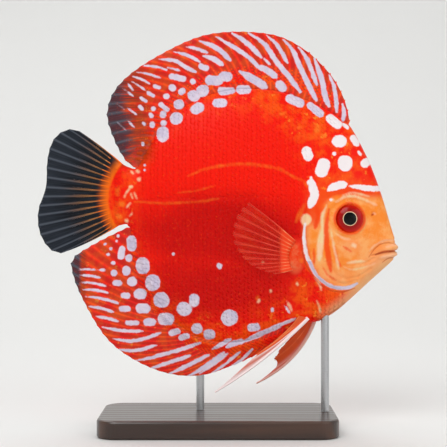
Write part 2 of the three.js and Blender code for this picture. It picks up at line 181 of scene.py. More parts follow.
def rimHalf(x, upper):
    start = np.where(upper, 58.0, 33.0)
    return body["rim"] + (body["bareRim"] - body["rim"]) * smooth(start - 5, start + 3, x)


def halfWidth(x, angle):
    rim = np.minimum(rimHalf(x, angle > 0), widthAt(x) * 0.8)
    wide = np.maximum(widthAt(x), rim * 1.15)
    roundEdge = np.sqrt(np.clip(1 - np.abs(np.sin(angle)) ** 14, 0, 1))
    return rim * roundEdge + (wide - rim) * np.clip(np.cos(angle), 0, 1) ** pinchAt(x)


def flankAt(x, z):
    middle = widestAt(x)
    reach = np.where(z > middle, topAt(x) - middle, middle - bottomAt(x))
    share = np.clip((z - middle) / reach, -1, 1)
    return halfWidth(x, np.arcsin(share))


def oval(x, z, middle, reach):
    # distance from a middle, counted in the oval's own half lengths
    return np.hypot((x - middle[0]) / reach[0], (z - middle[1]) / reach[1])


def lineDistance(x, z, points):
    # distance to a line of points, and on which side of it: positive to its left
    nearest = np.full(np.shape(x), 1e9)
    side = np.ones(np.shape(x))
    for (ax, az), (bx, bz) in zip(points[:-1], points[1:]):
        ux, uz = bx - ax, bz - az
        t = np.clip(((x - ax) * ux + (z - az) * uz) / (ux * ux + uz * uz), 0, 1)
        dx, dz = x - ax - t * ux, z - az - t * uz
        far = np.hypot(dx, dz)
        closer = far < nearest
        nearest = np.where(closer, far, nearest)
        side = np.where(closer, np.sign(ux * dz - uz * dx), side)
    return nearest, side


# Markings: each is a stroke or a spot in the photo's side view, in its pixels

marks = {
    # spots: x, y, half length, half height, and the turn of the length in degrees, clockwise
    "lilacSpots": [
        (294.5, 101.3, 10, 4.8, 25), (314.8, 110.1, 10, 4, 40), (243.5, 90, 7.5, 4.8, 0),
        (230, 91, 5, 3.4, 0), (280.8, 86.4, 6.5, 4.6, 50), (203.6, 67.3, 5.5, 3, 15),
        (177.5, 77.6, 9, 3.2, 12),
        (192.9, 81.4, 3, 2.8, 0), (156.8, 86.8, 4, 1.9, 20), (172.2, 87.6, 4, 3.4, 40),
        (181.7, 91.3, 4, 3.2, -40), (150.6, 94.2, 4.6, 1.9, 30), (166.3, 96.3, 3.4, 2.8, 20),
        (143.5, 99.6, 4.4, 1.6, 35), (163.8, 107, 6.6, 2.3, 38), (178.8, 104.6, 5.5, 5, 0),
        (193.7, 96, 6.4, 5.4, 30), (202.5, 91, 6.6, 6, 0), (213.8, 80.5, 9, 5, 5), (225.5, 76.5, 7, 5, 0),
        (224.4, 91.3, 7, 4, 0), (219.8, 103.7, 7.3, 4.5, 0), (197.4, 109, 7.2, 5.4, -30),
        (176.3, 118.7, 6.5, 6.4, 0), (153, 108.7, 2.5, 2.4, 0), (163, 114.4, 3.3, 3.9, 0),
        (151, 115, 2.1, 3, -20), (163.8, 123.2, 3.3, 3, 0), (141, 107.9, 3.4, 1.9, 50),
        (152.2, 124.5, 2.7, 3.4, 0), (143.5, 123.6, 2.4, 1.3, 40), (163, 134.4, 6, 8, 0),
        (142.7, 144, 1.6, 2.2, 0), (145.2, 165.5, 1.6, 1.2, 0),
        (131.7, 243.2, 5, 8, 0), (128.8, 258, 3.4, 3.6, 0), (121.4, 252.8, 3.4, 7, 10),
        (142.9, 265.6, 7, 8.4, 0), (152.9, 282.2, 7.5, 8.4, 0), (161.6, 299.6, 8, 7.8, 0),
        (126.3, 270.6, 4, 5, 0), (132, 281.4, 5, 5, 0), (140, 293.8, 6.4, 5.4, 0), (142.9, 308.3, 7.5, 5, 0),
        (166, 318.7, 8.5, 6, 0), (149.6, 322, 6.5, 4, 0), (113.9, 273, 3.4, 3.4, 0), (117.2, 283, 5, 3, 0),
        (125.5, 295.5, 5, 3, 0), (124.7, 308.7, 6, 3, 0), (132, 322.8, 7, 2.5, 0), (184.3, 308.3, 7.5, 7, 0),
        (194.3, 299.2, 5, 6.6, 0), (197, 328, 5.6, 5.4, 0), (209.5, 333.8, 6, 5.2, 0),
        (174.4, 332, 6, 3.2, -15), (184, 336.5, 6, 3, -15), (118, 236, 1.6, 1.6, 0),
        (116.4, 241, 1.3, 1.6, 0),
        (104.8, 244, 1.6, 1.3, 0), (110.6, 248.6, 1.8, 1.5, 0), (108, 254.4, 2, 1.5, 0),
        (113, 262.7, 2.4, 2, 0), (102.3, 269.8, 3, 1.5, 0), (229.3, 316.6, 8.4, 8.2, 0),
        (219.3, 265.4, 2.8, 3, 0), (173.6, 253.3, 1.4, 1.3, 0), (253.4, 326.4, 6.4, 4, 0),
        (271.7, 308.6, 1.8, 2.6, 0), (145, 170, 1.2, 1, 0),
    ],
    # strokes: half width, then the points from the fin's margin inwards
    "lilacStrokes": [
        (2.2, 266.7, 35.4, 277, 45, 287.4, 62.8), (3, 283.3, 39.6, 291.5, 48, 297.8, 62, 307, 82, 316, 100.5),
        (2.5, 298.2, 47, 307.5, 60, 316.8, 85), (3.2, 314, 57.8, 321.4, 78.5, 325, 96, 328.6, 106),
        (2.3, 328.9, 74.4, 333.9, 86.8, 335.6, 98, 336.3, 112), (2.2, 342.1, 104, 343.6, 113, 342.4, 121),
        (2.7, 231.9, 32.9, 247, 43, 261, 57), (2.9, 248.4, 32.9, 263.4, 42.9, 276.6, 62, 288, 76, 300, 92),
        (2.5, 216, 36.6, 229.5, 44.5, 247, 56, 261.7, 70.2), (1.4, 263.4, 57.8, 270, 64.4),
        (4.6, 239.8, 71.5, 254, 80, 265.9, 87.5), (3.8, 258.4, 65.5, 268, 71, 276, 77),
        (2.8, 199.5, 40.7, 212.8, 45.7, 222, 52, 230, 60), (3, 202.8, 55.7, 213, 58.5, 222.5, 64.5),
        (1.9, 186.2, 46.5, 197, 48.5, 207, 52.3), (1.9, 173.8, 51.5, 187, 55, 199.5, 61.5),
        (2.3, 158.9, 59, 174.6, 60.6, 186.2, 67.3, 195.6, 71.8), (1.4, 143.9, 65.6, 156, 66.6, 166.3, 69.8),
        (1.1, 167.2, 67.3, 179.6, 70.6), (1.4, 136.5, 72.2, 148, 74, 160.5, 78),
        (1.2, 132.3, 76.4, 141, 79, 149.8, 83.8), (1, 131.5, 81.4, 138, 85, 145.6, 90.5),
        (1.1, 127.4, 83, 133.2, 90.5), (0.8, 122.4, 88, 133.2, 96.3), (1.1, 127.4, 108, 136.5, 114.5),
        (1.2, 127.8, 120.8, 134.4, 127.5), (0.7, 117, 122, 126, 130), (0.7, 117, 104, 125, 110),
        (1.2, 77.4, 269.8, 86, 269, 95.7, 269.8), (1.3, 79, 274.8, 90, 275.5, 100.6, 277.7),
        (1.4, 80.7, 282.2, 94, 283, 106.4, 286.4), (1.4, 82.4, 289.3, 96, 290, 108, 292.6),
        (1.6, 84.9, 296.3, 100, 298, 118, 303), (1.7, 89, 306.3, 101, 308, 113, 311.7),
        (1.8, 95.7, 316.2, 107, 318, 118, 321.2), (1.9, 102.3, 327, 122, 330.5, 142.9, 331),
        (2, 112.2, 338.6, 130.5, 341, 146, 338, 160.3, 332.8), (2, 118, 349.4, 134.6, 350.6, 156.2, 345.2),
        (2.2, 132.9, 361, 150, 358, 166, 353.5, 180, 349.7, 200, 342.6),
        (2.2, 148.6, 369, 168.6, 362.6, 190, 355.4), (2.3, 168.6, 374, 184.3, 366.9, 208.6, 354.7),
        (2.3, 185.7, 376.9, 200, 369.7, 224, 352.6), (2, 199, 373.8, 213, 364, 227.5, 353.2),
        (1.6, 209.6, 374.6, 225, 364, 240, 351.4), (2.6, 212, 349, 221, 344, 230, 339),
        (1.8, 226, 370, 240, 361, 252, 349),
        (3.4, 226, 347, 234, 343, 243, 340.5), (3, 240, 343, 252.5, 337, 270.4, 329, 284, 322.5),
        (2, 280, 324, 294.5, 318.4), (1.3, 283.5, 304.5, 289, 312),
    ],
    "whiteSpots": [
        (333, 122.1, 9, 4.8, 40), (345, 126.6, 4, 2, 40), (338, 142, 7.4, 6, 0), (354, 141, 6.4, 3.8, 55),
        (332.6, 154.6, 2, 2, 0), (343.5, 164, 7.3, 8, 0), (321, 168.6, 6.4, 9.6, 20),
        (306, 154.6, 5, 7.4, -20),
        (364.6, 163, 4.4, 5.6, 50), (358.6, 153.6, 2.8, 1.7, 60), (329, 200, 1.5, 1.3, 40),
    ],
    "whiteStrokes": [
        (4.4, 325.5, 191, 333, 187, 343.5, 184.6), (3.1, 347, 186.6, 358, 187.2, 366, 188.6, 384, 188.6),
        (5, 309.4, 178.4, 311, 188, 312.6, 196, 308, 206), (3, 306.4, 182, 310, 184),
    ],
    # the pale line along the gill cover's edge, widening under the cheek
    "gillStrokes": [
        (2.1, 303.6, 222, 302.2, 236, 303.6, 248, 306.4, 258, 312, 270, 319, 279),
        (2.1, 313, 271, 321, 280, 331, 286, 341, 287.4, 348, 286.6, 356, 283),
    ],
    "creamSpots": [
        (304.4, 219.6, 5, 5.8, 0), (372.8, 213.6, 1.6, 1, 20), (330, 200, 2, 1.6, 30),
        (352, 245, 2.6, 1.6, 30),
        (138, 171.6, 2.2, 1.4, 30), (139.4, 179.4, 1.8, 1.8, 0), (131.4, 186.8, 1.6, 1.3, 0),
        (127, 220.6, 1.8, 1.8, 0), (262, 262, 1, 1.6, 20), (258, 300, 1.2, 2, 20),
        (270, 290, 0.9, 1.4, 0), (296, 283, 1, 2, -20),
    ],
    "creamStrokes": [
        (1.8, 324.6, 205.6, 320.6, 216, 320.3, 228), (3.4, 320.6, 226, 318.6, 242, 317.6, 259),
        (1.2, 328.8, 229.5, 331, 241.7, 333.4, 253, 337, 268),
        (1.5, 334, 202, 342.8, 197.4, 351.7, 196.4, 362.8, 199.8),
        (1.5, 359, 198.4, 366, 201.4, 375, 205.2), (0.8, 341, 195.4, 351.7, 193, 367.5, 196.6),
        (1, 334, 233, 341, 237.6, 348, 238.6), (1.6, 345.5, 262.4, 352, 261.4, 362, 260.6),
        (1.4, 399, 245, 392, 244.6, 385, 246.6), (1.8, 399, 253.6, 390, 254.6, 380, 257),
        (1, 393, 240.4, 384, 240, 374, 244.4, 368, 250), (0.7, 342, 266, 350, 269, 362, 267, 374, 263),
        (1.5, 287, 245, 281, 243), (1.4, 286, 250.5, 280, 249.5), (1.4, 286, 256, 280, 256),
        (1.4, 287, 261, 281, 262), (1.3, 290, 266, 285, 268), (1, 130, 189, 126.6, 193, 125, 197),
        (0.9, 131, 193, 133, 198.6), (0.9, 134.6, 192.6, 137.4, 199), (0.8, 131, 203, 127, 207.4),
        (0.6, 133, 213, 130, 216), (1.1, 131, 171, 133.6, 174), (1, 313, 276, 318, 283, 320, 289),
        (0.8, 316, 300, 318.6, 306, 320, 313), (1.2, 286, 300, 289, 305, 291, 310),
    ],
    "flushStrokes": [
        (3.2, 327, 209, 324, 228, 325, 246, 329, 270), (1.6, 332.6, 246, 335, 259, 339, 266),
        (2.4, 314, 205, 316, 216, 313, 228), (1.4, 312, 248, 312.5, 262), (1, 341, 246, 349, 251),
        (1.6, 328, 196.6, 340, 192.4, 352, 191.4, 370, 193.4), (1, 321, 266, 326, 274, 334, 279),
    ],
    # painted shade: darker red-brown lines in the mouth slit, the lip grooves, the nostril and along the gill
    # cover's edge
    "creaseStrokes": [
        (1.1, 399, 249, 391.7, 250.6, 383, 251.2, 374, 254),
        (0.3, 395, 244.6, 388, 242.4, 380, 243.4, 373, 248.4, 367, 256.6),
        (0.7, 300, 226, 299.4, 240, 301, 252, 304, 262.6, 309.6, 272.6, 318, 283, 329, 289.6, 341, 291.4,
         354, 287.6),
        (0.9, 369.4, 215.6, 371.6, 214.2),
        (0.4, 381, 262, 387, 258, 394, 257),
    ],
    "amberSpots": [
        (299, 216, 1.6, 4.6, 20), (301.5, 208, 1.4, 4, 20), (316, 130, 2.2, 3.6, 20),
        (313, 124, 2.2, 1.3, 30), (299, 129, 2, 1.4, 20), (282, 114.5, 3.6, 1.2, -15),
        (322, 137, 1.6, 2, 0), (257, 297, 1.5, 2.4, 0),
        (315.4, 283, 1.4, 2.6, -20), (122, 204, 3, 2, 0), (118, 192, 2, 4, 0),
        (119, 216, 3, 2.4, 30), (300, 260, 1.6, 2.2, 20),
    ],
    "amberStrokes": [
        (1.3, 188.8, 176.6, 200, 171.4, 213.8, 167.7, 236, 165, 257.5, 165.9, 281.3, 170.6, 295.7, 179.7,
         307, 183),
        (0.7, 135, 201.6, 164.6, 203.4, 200.4, 201.6, 218, 199), (0.3, 178, 193, 197, 191, 215, 186),
        (1.2, 301.5, 181, 304, 184, 306, 188), (1.2, 305, 203.6, 299, 210.6, 294.5, 222),
    ],
}


strokeShape = {"steps": 8, "slimmer": 0.88}
markFade = 2.5  # how far outside a mark its distance is still worked out


def markDistance(x, z, spots=(), strokes=()):
    # how far each point lies outside the nearest mark, in millimetres, below zero inside it
    nearest = np.full(len(x), 9.0)
    scale = photo["mmPerPixel"]

    def capsule(ax, az, bx, bz, ra, rb):
        reach = max(ra, rb) + markFade
        near = np.flatnonzero((x > min(ax, bx) - reach) & (x < max(ax, bx) + reach)
                              & (z > min(az, bz) - reach) & (z < max(az, bz) + reach))
        ux, uz = bx - ax, bz - az
        t = np.clip(((x[near] - ax) * ux + (z[near] - az) * uz) / max(ux * ux + uz * uz, 1e-9), 0, 1)
        far = np.hypot(x[near] - ax - t * ux, z[near] - az - t * uz) - (ra + (rb - ra) * t)
        nearest[near] = np.minimum(nearest[near], far)

    for sx, sy, along, high, turn in spots:
        cx, cz = fromPhoto(sx, sy)
        if high > along:
            along, high, turn = high, along, turn + 90
        run = (along - high) * scale
        dx, dz = run * math.cos(math.radians(turn)), -run * math.sin(math.radians(turn))
        capsule(cx - dx, cz - dz, cx + dx, cz + dz, high * scale, high * scale)
    # a stroke starts narrow at the margin and ends blunt
    run = np.linspace(0, 1, strokeShape["steps"] + 1)
    taper = np.minimum(1, 0.3 + 2.2 * run) * np.minimum(1, 0.55 + 3.5 * (1 - run))
    for stroke in strokes:
        radii = stroke[0] * strokeShape["slimmer"] * scale * taper
        line = curvePoints(photoLine(stroke[1:]), len(run))
        for i in range(strokeShape["steps"]):
            capsule(*line[i], *line[i + 1], radii[i], radii[i + 1])
    return nearest


caudalStart, faceTop = -43.6, 108
farSide = {"from": 1.5, "to": 5, "shift": 1.4}  # the far side's marks differ a little, as on a real fish


def paint(piece, tailward=True):
    # marks and broad colour areas as numbers on the mesh, read by the material
    x, y, z = meshPoints(piece.data).T.copy()
    shift = farSide["shift"] * smooth(farSide["from"], farSide["to"], y)
    x = x + shift * np.sin(z / 9 + 1.2)
    z = z + shift * np.sin(x / 11)

    def mark(kind):
        return markDistance(x, z, marks.get(kind + "Spots", ()), marks.get(kind + "Strokes", ()))

    def cloud(middleX, middleZ, reachX, reachZ, slope=0.0):
        rise = z - middleZ - slope * (x - 66)
        return np.exp(-((x - middleX) / reachX) ** 2 - (rise / reachZ) ** 2)

    gillLine = mark("gill")
    gillFar, gillSide = lineDistance(x, z, gillEdge)
    # redder above the eye, round it, and at the top of the gill cover
    flush = smooth(99, 107, z) + smooth(52, 42, x) * smooth(84, 98, z)
    flush += 0.75 * smooth(8.2, 6.6, np.hypot(x - body["eyeX"], z - body["eyeZ"]))
    peach = cloud(70, 74, 9, 5, 0.5) + 0.8 * cloud(58, 82, 5, 4) + 0.8 * cloud(50, 68, 9, 4)
    # slate towards the rear margins of the long fins
    dorsalRear = smooth(-25, -51, x + 0.12 * (z - 140)) * smooth(114, 124, z)
    analRear = smooth(-57, -64, x) * smooth(90, 76, z)
    redEnd = caudalStart + 1.2 - 5.6 * np.clip(1 - ((z - 102.4) / 15) ** 2, -0.3, 1)
    areas = {
        "lilacMark": np.minimum(mark("lilac"), np.where(z < 77, gillLine, 9.0)),
        "whiteMark": np.minimum(mark("white"), np.where(z > 75, gillLine, 9.0)),
        "amberMark": mark("amber"), "creamMark": mark("cream"),
        # the crease marks are painted shade in the mouth slit, lip grooves, nostril and gill cover's edge
        "flushMark": mark("flush"), "creaseMark": mark("crease"),
        "throatArea": smooth(8, 1.5, z - bottomAt(np.minimum(x, body["noseX"]))) * smooth(42, 52, x),
        "rootArea": smooth(1.15, 0.55, oval(x, z, (33.8, 77), (4.4, 7.6))),
        "faceArea": smooth(-2.5, 3, gillFar * gillSide) * smooth(faceTop + 6, faceTop - 4, z),
        "flushArea": np.clip(flush, 0, 1),
        "peachArea": np.clip(peach, 0, 1),
        "deepArea": np.maximum(cloud(4, 88, 46, 20), 0.85 * cloud(-4, 64, 48, 20)),
        "warmArea": smooth(0.4, 0.85, oval(x, z, (2, 96), (52, 62)) ** 2),
        "slateArea": np.maximum(dorsalRear, analRear),
        "tailRun": np.clip((redEnd - x) / 30, 0, 1) * tailward,
    }
    for name, values in areas.items():
        keepFloat(piece.data, name, values)


# Materials


def linear(red, green, blue):
    def one(c):
        c = c / 255
        return c / 12.92 if c <= 0.04045 else ((c + 0.055) / 1.055) ** 2.4
    return one(red), one(green), one(blue), 1.0


class Nodes:
    # a small hand for adding and joining nodes
    def __init__(self, tree):
        self.tree = tree

    def put(self, node, inputs):
        for key, value in inputs.items():
            socket = node.inputs[key]
            if isinstance(value, bpy.types.NodeSocket):
                self.tree.links.new(value, socket)
            else:
                socket.default_value = value

    def add(self, kind, inputs=None, **settings):
        node = self.tree.nodes.new(kind)
        for key, value in settings.items():
            setattr(node, key, value)
        self.put(node, inputs or {})
        return node

    def dress(self, inputs):
        self.put(self.tree.nodes["Principled BSDF"], inputs)

    def math(self, operation, a, b):
        return self.add("ShaderNodeMath", {0: a, 1: b}, operation=operation).outputs[0]

    def times(self, a, b):
        return self.math("MULTIPLY", a, b)

    def plus(self, a, b):
        return self.math("ADD", a, b)

    def minus(self, a, b):
        return self.math("SUBTRACT", a, b)

    def sway(self, noise, reach):
        # a noise that swings about zero
        return self.times(self.minus(noise, 0.5), reach)

    def mix(self, share, a, b):
        return self.add("ShaderNodeMix", {"Factor": share, 6: a, 7: b}, data_type="RGBA").outputs[2]

    def number(self, name):
        return self.add("ShaderNodeAttribute", attribute_name=name).outputs["Fac"]

    def span(self, value, low, high, toLow=0.0, toHigh=1.0):
        inputs = {"Value": value, "From Min": low, "From Max": high, "To Min": toLow, "To Max": toHigh}
        return self.add("ShaderNodeMapRange", inputs, interpolation_type="SMOOTHSTEP").outputs[0]

    def noise(self, where, scale, detail=3.0, rough=0.5):
        inputs = {"Vector": where, "Scale": scale, "Detail": detail, "Roughness": rough}
        return self.add("ShaderNodeTexNoise", inputs).outputs["Fac"]

    def stretched(self, where, scale):
        return self.add("ShaderNodeMapping", {"Vector": where, "Scale": scale}).outputs[0]

    def bump(self, height, distance, strength):
        inputs = {"Height": height, "Distance": distance, "Strength": strength}
        return self.add("ShaderNodeBump", inputs).outputs[0]


colours = {
    "brightRed": (250, 22, 1), "deepRed": (206, 5, 0), "orange": (254, 92, 8), "olive": (150, 62, 10),
    "amber": (252, 140, 40), "face": (255, 146, 50), "faceLight": (255, 178, 104), "faceRed": (248, 66, 8),
    "peach": (254, 176, 118), "throat": (230, 178, 128), "lip": (255, 190, 148), "crease": (186, 58, 12),
    # the crease colour is a red-brown for painted shade in the mouth slit, grooves and nostril
    "cream": (254, 212, 170), "yellowish": (244, 222, 168), "rootPeach": (238, 148, 96),
    "lilac": (226, 216, 232), "lilacDeep": (202, 196, 224), "white": (246, 236, 238),
    "slate": (62, 70, 84), "slateDark": (28, 33, 42), "betweenRays": (110, 6, 0), "rayWarm": (206, 140, 82),
    "tailWeb": (6, 8, 11), "tailRay": (122, 130, 144), "tailGlow": (252, 112, 12), "paleRay": (255, 238, 238),
    "pectoralWeb": (226, 30, 14), "pectoralRay": (240, 84, 66), "pelvicWeb": (226, 84, 34),
    "pelvicRay": (240, 128, 70), "woodDark": (46, 27, 17), "woodLight": (72, 43, 27),
    "steelDark": (172, 173, 176), "steelLight": (196, 197, 199),
}
colours = {name: linear(*parts) for name, parts in colours.items()}


def patternGroup():
    # the fish's colours with its marks, the same on skin, scales and long fins
    tree = bpy.data.node_groups.new("fishPattern", "ShaderNodeTree")
    tree.interface.new_socket("Colour", in_out="OUTPUT", socket_type="NodeSocketColor")
    tree.interface.new_socket("Marked", in_out="OUTPUT", socket_type="NodeSocketFloat")
    n = Nodes(tree)
    where = n.add("ShaderNodeTexCoord").outputs["Object"]
    broad = n.noise(where, 38, 2)
    blotch = n.noise(where, 150, 4, 0.6)
    fine = n.noise(where, 900, 3, 0.6)
    wobble = n.sway(n.noise(where, 420, 4, 0.65), 1.3)
    deep = n.span(n.plus(n.number("deepArea"), n.sway(broad, 0.7)), 0.2, 0.85)
    colour = n.mix(deep, colours["brightRed"], colours["deepRed"])
    warm = n.times(n.number("warmArea"), n.span(blotch, 0.4, 0.66))
    colour = n.mix(n.times(warm, 0.85), colour, colours["orange"])
    faceTone = n.mix(n.span(blotch, 0.4, 0.66), colours["face"], colours["faceLight"])
    faceTone = n.mix(n.times(n.number("peachArea"), 0.75), faceTone, colours["peach"])
    redder = n.plus(n.number("flushArea"), n.sway(blotch, 0.5))
    faceTone = n.mix(n.span(redder, 0.2, 0.9, 0.0, 0.9), faceTone, colours["faceRed"])
    colour = n.mix(n.times(n.number("faceArea"), 0.94), colour, faceTone)
    # streaks that run along the rays
    fan = {"X": n.times(n.number("fanAcross"), 4.4), "Y": n.times(n.number("fanAlong"), 1.3)}
    streak = n.noise(n.add("ShaderNodeCombineXYZ", fan).outputs[0], 1.7, 4, 0.75)
    ray = n.span(n.number("rayShare"), 0.22, 0.8)
    slateSum = n.plus(n.number("slateArea"), n.sway(streak, 0.9))
    slate = n.span(n.minus(slateSum, n.times(ray, 0.12)), 0.45, 0.8)
    olive = n.times(n.span(n.number("slateArea"), 0.02, 0.3), n.span(streak, 0.36, 0.56))
    colour = n.mix(n.times(olive, 0.85), colour, colours["olive"])
    colour = n.mix(slate, colour, n.mix(n.span(streak, 0.35, 0.7), colours["slateDark"], colours["slate"]))
    colour = n.mix(n.times(slate, n.times(ray, 0.7)), colour, colours["tailRay"])
    specks = n.times(n.span(n.noise(where, 270, 3, 0.7), 0.6, 0.7), n.number("warmArea"))
    specks = n.times(specks, n.span(n.number("slateArea"), 0.1, 0.5, 1.0, 0.0))
    colour = n.mix(n.times(specks, 0.8), colour, colours["amber"])
    speckle = n.times(n.span(fine, 0.55, 0.8), 0.3)
    colour = n.mix(speckle, colour, colours["orange"])
    colour = n.mix(n.times(n.number("throatArea"), 0.7), colour, colours["throat"])
    rootTone = n.mix(n.span(blotch, 0.38, 0.62), colours["rootPeach"], colours["faceRed"])
    colour = n.mix(n.times(n.number("rootArea"), 0.7), colour, rootTone)
    # the tail fin: a glow at its root, then dark web with paler rays
    run = n.plus(n.number("tailRun"), n.sway(streak, 0.22))
    rayTone = n.mix(n.span(run, 0.3, 0.78), colours["rayWarm"], colours["tailRay"])
    webTone = n.mix(n.span(streak, 0.35, 0.75, 0.0, 0.4), colours["tailWeb"], colours["slate"])
    webTone = n.mix(n.span(n.number("tailRun"), 0.5, 1.0, 0.0, 0.2), webTone, colours["slate"])
    tailTone = n.mix(n.times(ray, n.span(run, 0.35, 1.0, 0.95, 0.8)), webTone, rayTone)
    ragged = n.minus(run, n.times(ray, 0.12))
    glow = n.span(ragged, 0.22, 0.02)
    tailTone = n.mix(glow, tailTone, colours["tailGlow"])
    colour = n.mix(n.span(n.number("tailRun"), 0.0, 0.05), colour, tailTone)

    def covered(name, soft):
        return n.span(n.plus(n.number(name), wobble), soft, -soft)

    amber = n.times(covered("amberMark", 0.8), n.span(blotch, 0.3, 0.6, 0.2, 0.5))
    colour = n.mix(amber, colour, colours["amber"])
    colour = n.mix(n.times(covered("flushMark", 0.6), 0.85), colour, colours["faceRed"])
    forward = n.add("ShaderNodeSeparateXYZ", {"Vector": where}).outputs[0]
    creamTone = n.mix(n.span(blotch, 0.4, 0.6), colours["cream"], colours["yellowish"])
    creamTone = n.mix(n.span(forward, 0.062, 0.07), creamTone, colours["lip"])
    cream = n.span(n.plus(n.number("creamMark"), wobble), 0.6, -0.7, 0.0, 0.85)
    colour = n.mix(cream, colour, creamTone)
    lilac = n.times(covered("lilacMark", 0.3), n.span(fine, 0.1, 0.5, 0.84, 0.98))
    lilac = n.times(lilac, n.span(slate, 0.0, 1.0, 1.0, 0.35))
    lilacTone = n.mix(n.span(blotch, 0.36, 0.66, 0.0, 0.8), colours["lilac"], colours["lilacDeep"])
    colour = n.mix(lilac, colour, lilacTone)
    white = covered("whiteMark", 0.3)
    colour = n.mix(white, colour, colours["white"])
    # painted shade in the creases: mouth slit, lip grooves, nostril and gill cover's edge darkened to
    # red-brown
    crease = n.span(n.number("creaseMark"), 0.35, -0.3, 0.0, 0.8)
    colour = n.mix(crease, colour, colours["crease"])
    n.add("NodeGroupOutput", {"Colour": colour, "Marked": n.math("MAXIMUM", lilac, white)})
    return tree


pattern = patternGroup()


def newMaterial(name):
    material = bpy.data.materials.new(name)
    material.use_nodes = True
    n = Nodes(material.node_tree)
    n.where = n.add("ShaderNodeTexCoord").outputs["Object"]
    return material, n


def fleshMaterial(name, roughness, coatWeight, grain):
    material, n = newMaterial(name)
    pebble = n.add("ShaderNodeTexVoronoi", {"Vector": n.where, "Scale": grain}, feature="F1")
    n.dress({
        "Base Color": n.add("ShaderNodeGroup", node_tree=pattern).outputs["Colour"],
        "Coat Weight": coatWeight, "Coat Roughness": 0.18, "Specular IOR Level": 0.1,
        "Roughness": n.span(n.noise(n.where, 1500, 2), 0.3, 0.7, roughness - 0.07, roughness + 0.09),
        "Normal": n.bump(pebble.outputs["Distance"], 0.00006, 0.5),
    })
    return material


def finMaterial(name):
    material, n = newMaterial(name)
    group = n.add("ShaderNodeGroup", node_tree=pattern).outputs
    between = n.span(n.number("rayShare"), 0.0, 0.6, 1.0, 0.0)
    darker = n.mix(n.times(between, 0.42), group["Colour"], colours["betweenRays"])
    n.dress({
        "Base Color": n.mix(group["Marked"], darker, group["Colour"]),
        "Roughness": 0.42, "Specular IOR Level": 0.25, "Coat Weight": 0.12, "Coat Roughness": 0.2,
        "Normal": n.bump(n.noise(n.where, 1300), 0.00008, 0.5),
    })
    return material


def tailMaterial():
    material, n = newMaterial("tailWeb")
    n.dress({
        "Base Color": n.add("ShaderNodeGroup", node_tree=pattern).outputs["Colour"],
        "Alpha": 0.97, "Roughness": 0.5, "Specular IOR Level": 0.12,
        "Normal": n.bump(n.noise(n.where, 1300), 0.00006, 0.4),
    })
    return material


def pairedFinMaterial(name, webColour, rayColour, alpha):
    material, n = newMaterial(name)
    ray, fleshy, streak = n.number("rayShare"), n.number("fleshy"), n.noise(n.where, 330)
    web = n.mix(n.span(streak, 0.35, 0.7, 0.0, 0.25), webColour, colours["orange"])
    bars = n.times(n.times(fleshy, n.span(ray, 0.15, 0.6)), n.span(streak, 0.4, 0.6, 0.3, 0.75))
    colour = n.mix(n.span(ray, 0.25, 0.8), web, rayColour)
    colour = n.mix(n.times(fleshy, 0.9), colour, n.mix(bars, colours["faceRed"], colours["peach"]))
    n.dress({
        "Base Color": n.mix(n.times(n.number("paleRay"), 0.95), colour, colours["paleRay"]),
        "Alpha": n.span(n.math("MAXIMUM", ray, fleshy), 0.1, 0.7, alpha, 1.0),
        "Roughness": 0.42, "Specular IOR Level": 0.25,
        "Normal": n.bump(streak, 0.00006, 0.4),
    })
    return material


def eyeMaterial():
    material, n = newMaterial("eyeGloss")
    reach = n.plus(n.number("irisReach"), n.sway(n.noise(n.where, 700, 3, 0.7), 0.35))
    ramp = n.add("ShaderNodeValToRGB", {"Fac": n.math("DIVIDE", reach, body["eyeRadius"])})
    # pupil, pale ring and iris, by their share of the eye's radius
    stops = [
        (0.0, (0, 0, 0)), (0.402, (0, 0, 0)), (0.412, (250, 224, 190)), (0.436, (250, 214, 170)),
        (0.456, (150, 4, 0)), (0.6, (160, 4, 0)), (0.74, (190, 12, 2)), (0.82, (196, 22, 4)),
        (0.88, (226, 78, 20)),
    ]
    band = ramp.color_ramp.elements
    band.remove(band[1])
    for place, (position, colour) in enumerate(stops):
        stop = band.new(position) if place else band[0]
        stop.color = linear(*colour)
    n.dress({
        "Base Color": ramp.outputs["Color"], "Roughness": 0.35, "Specular IOR Level": 0.08,
        "Coat Weight": 0.3, "Coat Roughness": 0.05,
    })
    return material


def woodMaterial():
    material, n = newMaterial("stainedWood")
    along = n.stretched(n.where, (6, 60, 60))
    waves = {"Vector": along, "Scale": 0.9, "Distortion": 5.0, "Detail": 3.0}
    rings = n.add("ShaderNodeTexWave", waves, bands_direction="Y").outputs["Fac"]
    tone = n.plus(n.times(n.noise(along, 3, 5, 0.6), 0.6), n.times(rings, 0.4))
    n.dress({
        "Base Color": n.mix(n.span(tone, 0.3, 0.75), colours["woodDark"], colours["woodLight"]),
        "Roughness": n.span(tone, 0.3, 0.8, 0.3, 0.45), "Coat Weight": 0.35, "Coat Roughness": 0.15,
        "Normal": n.bump(n.noise(n.stretched(n.where, (60, 900, 900)), 2, 2), 0.00006, 0.5),
    })
    return material


def steelMaterial():
    material, n = newMaterial("brushedSteel")
    brush = n.noise(n.stretched(n.where, (400, 400, 9000)), 1, 3)
    n.dress({
        "Base Color": n.mix(brush, colours["steelDark"], colours["steelLight"]), "Metallic": 1.0,
        "Roughness": n.span(brush, 0.3, 0.7, 0.27, 0.33),
        "Normal": n.bump(brush, 0.000004, 0.2),
    })
    return material


# The skin: one closed form over head, trunk and tail stem

skin = {
    "headStations": 170, "trunkStations": 150, "across": 150,
    "noseStations": 24, "from": -47.8, "neck": 34, "noseFrom": 77.6, "noseTo": 79.3,
}


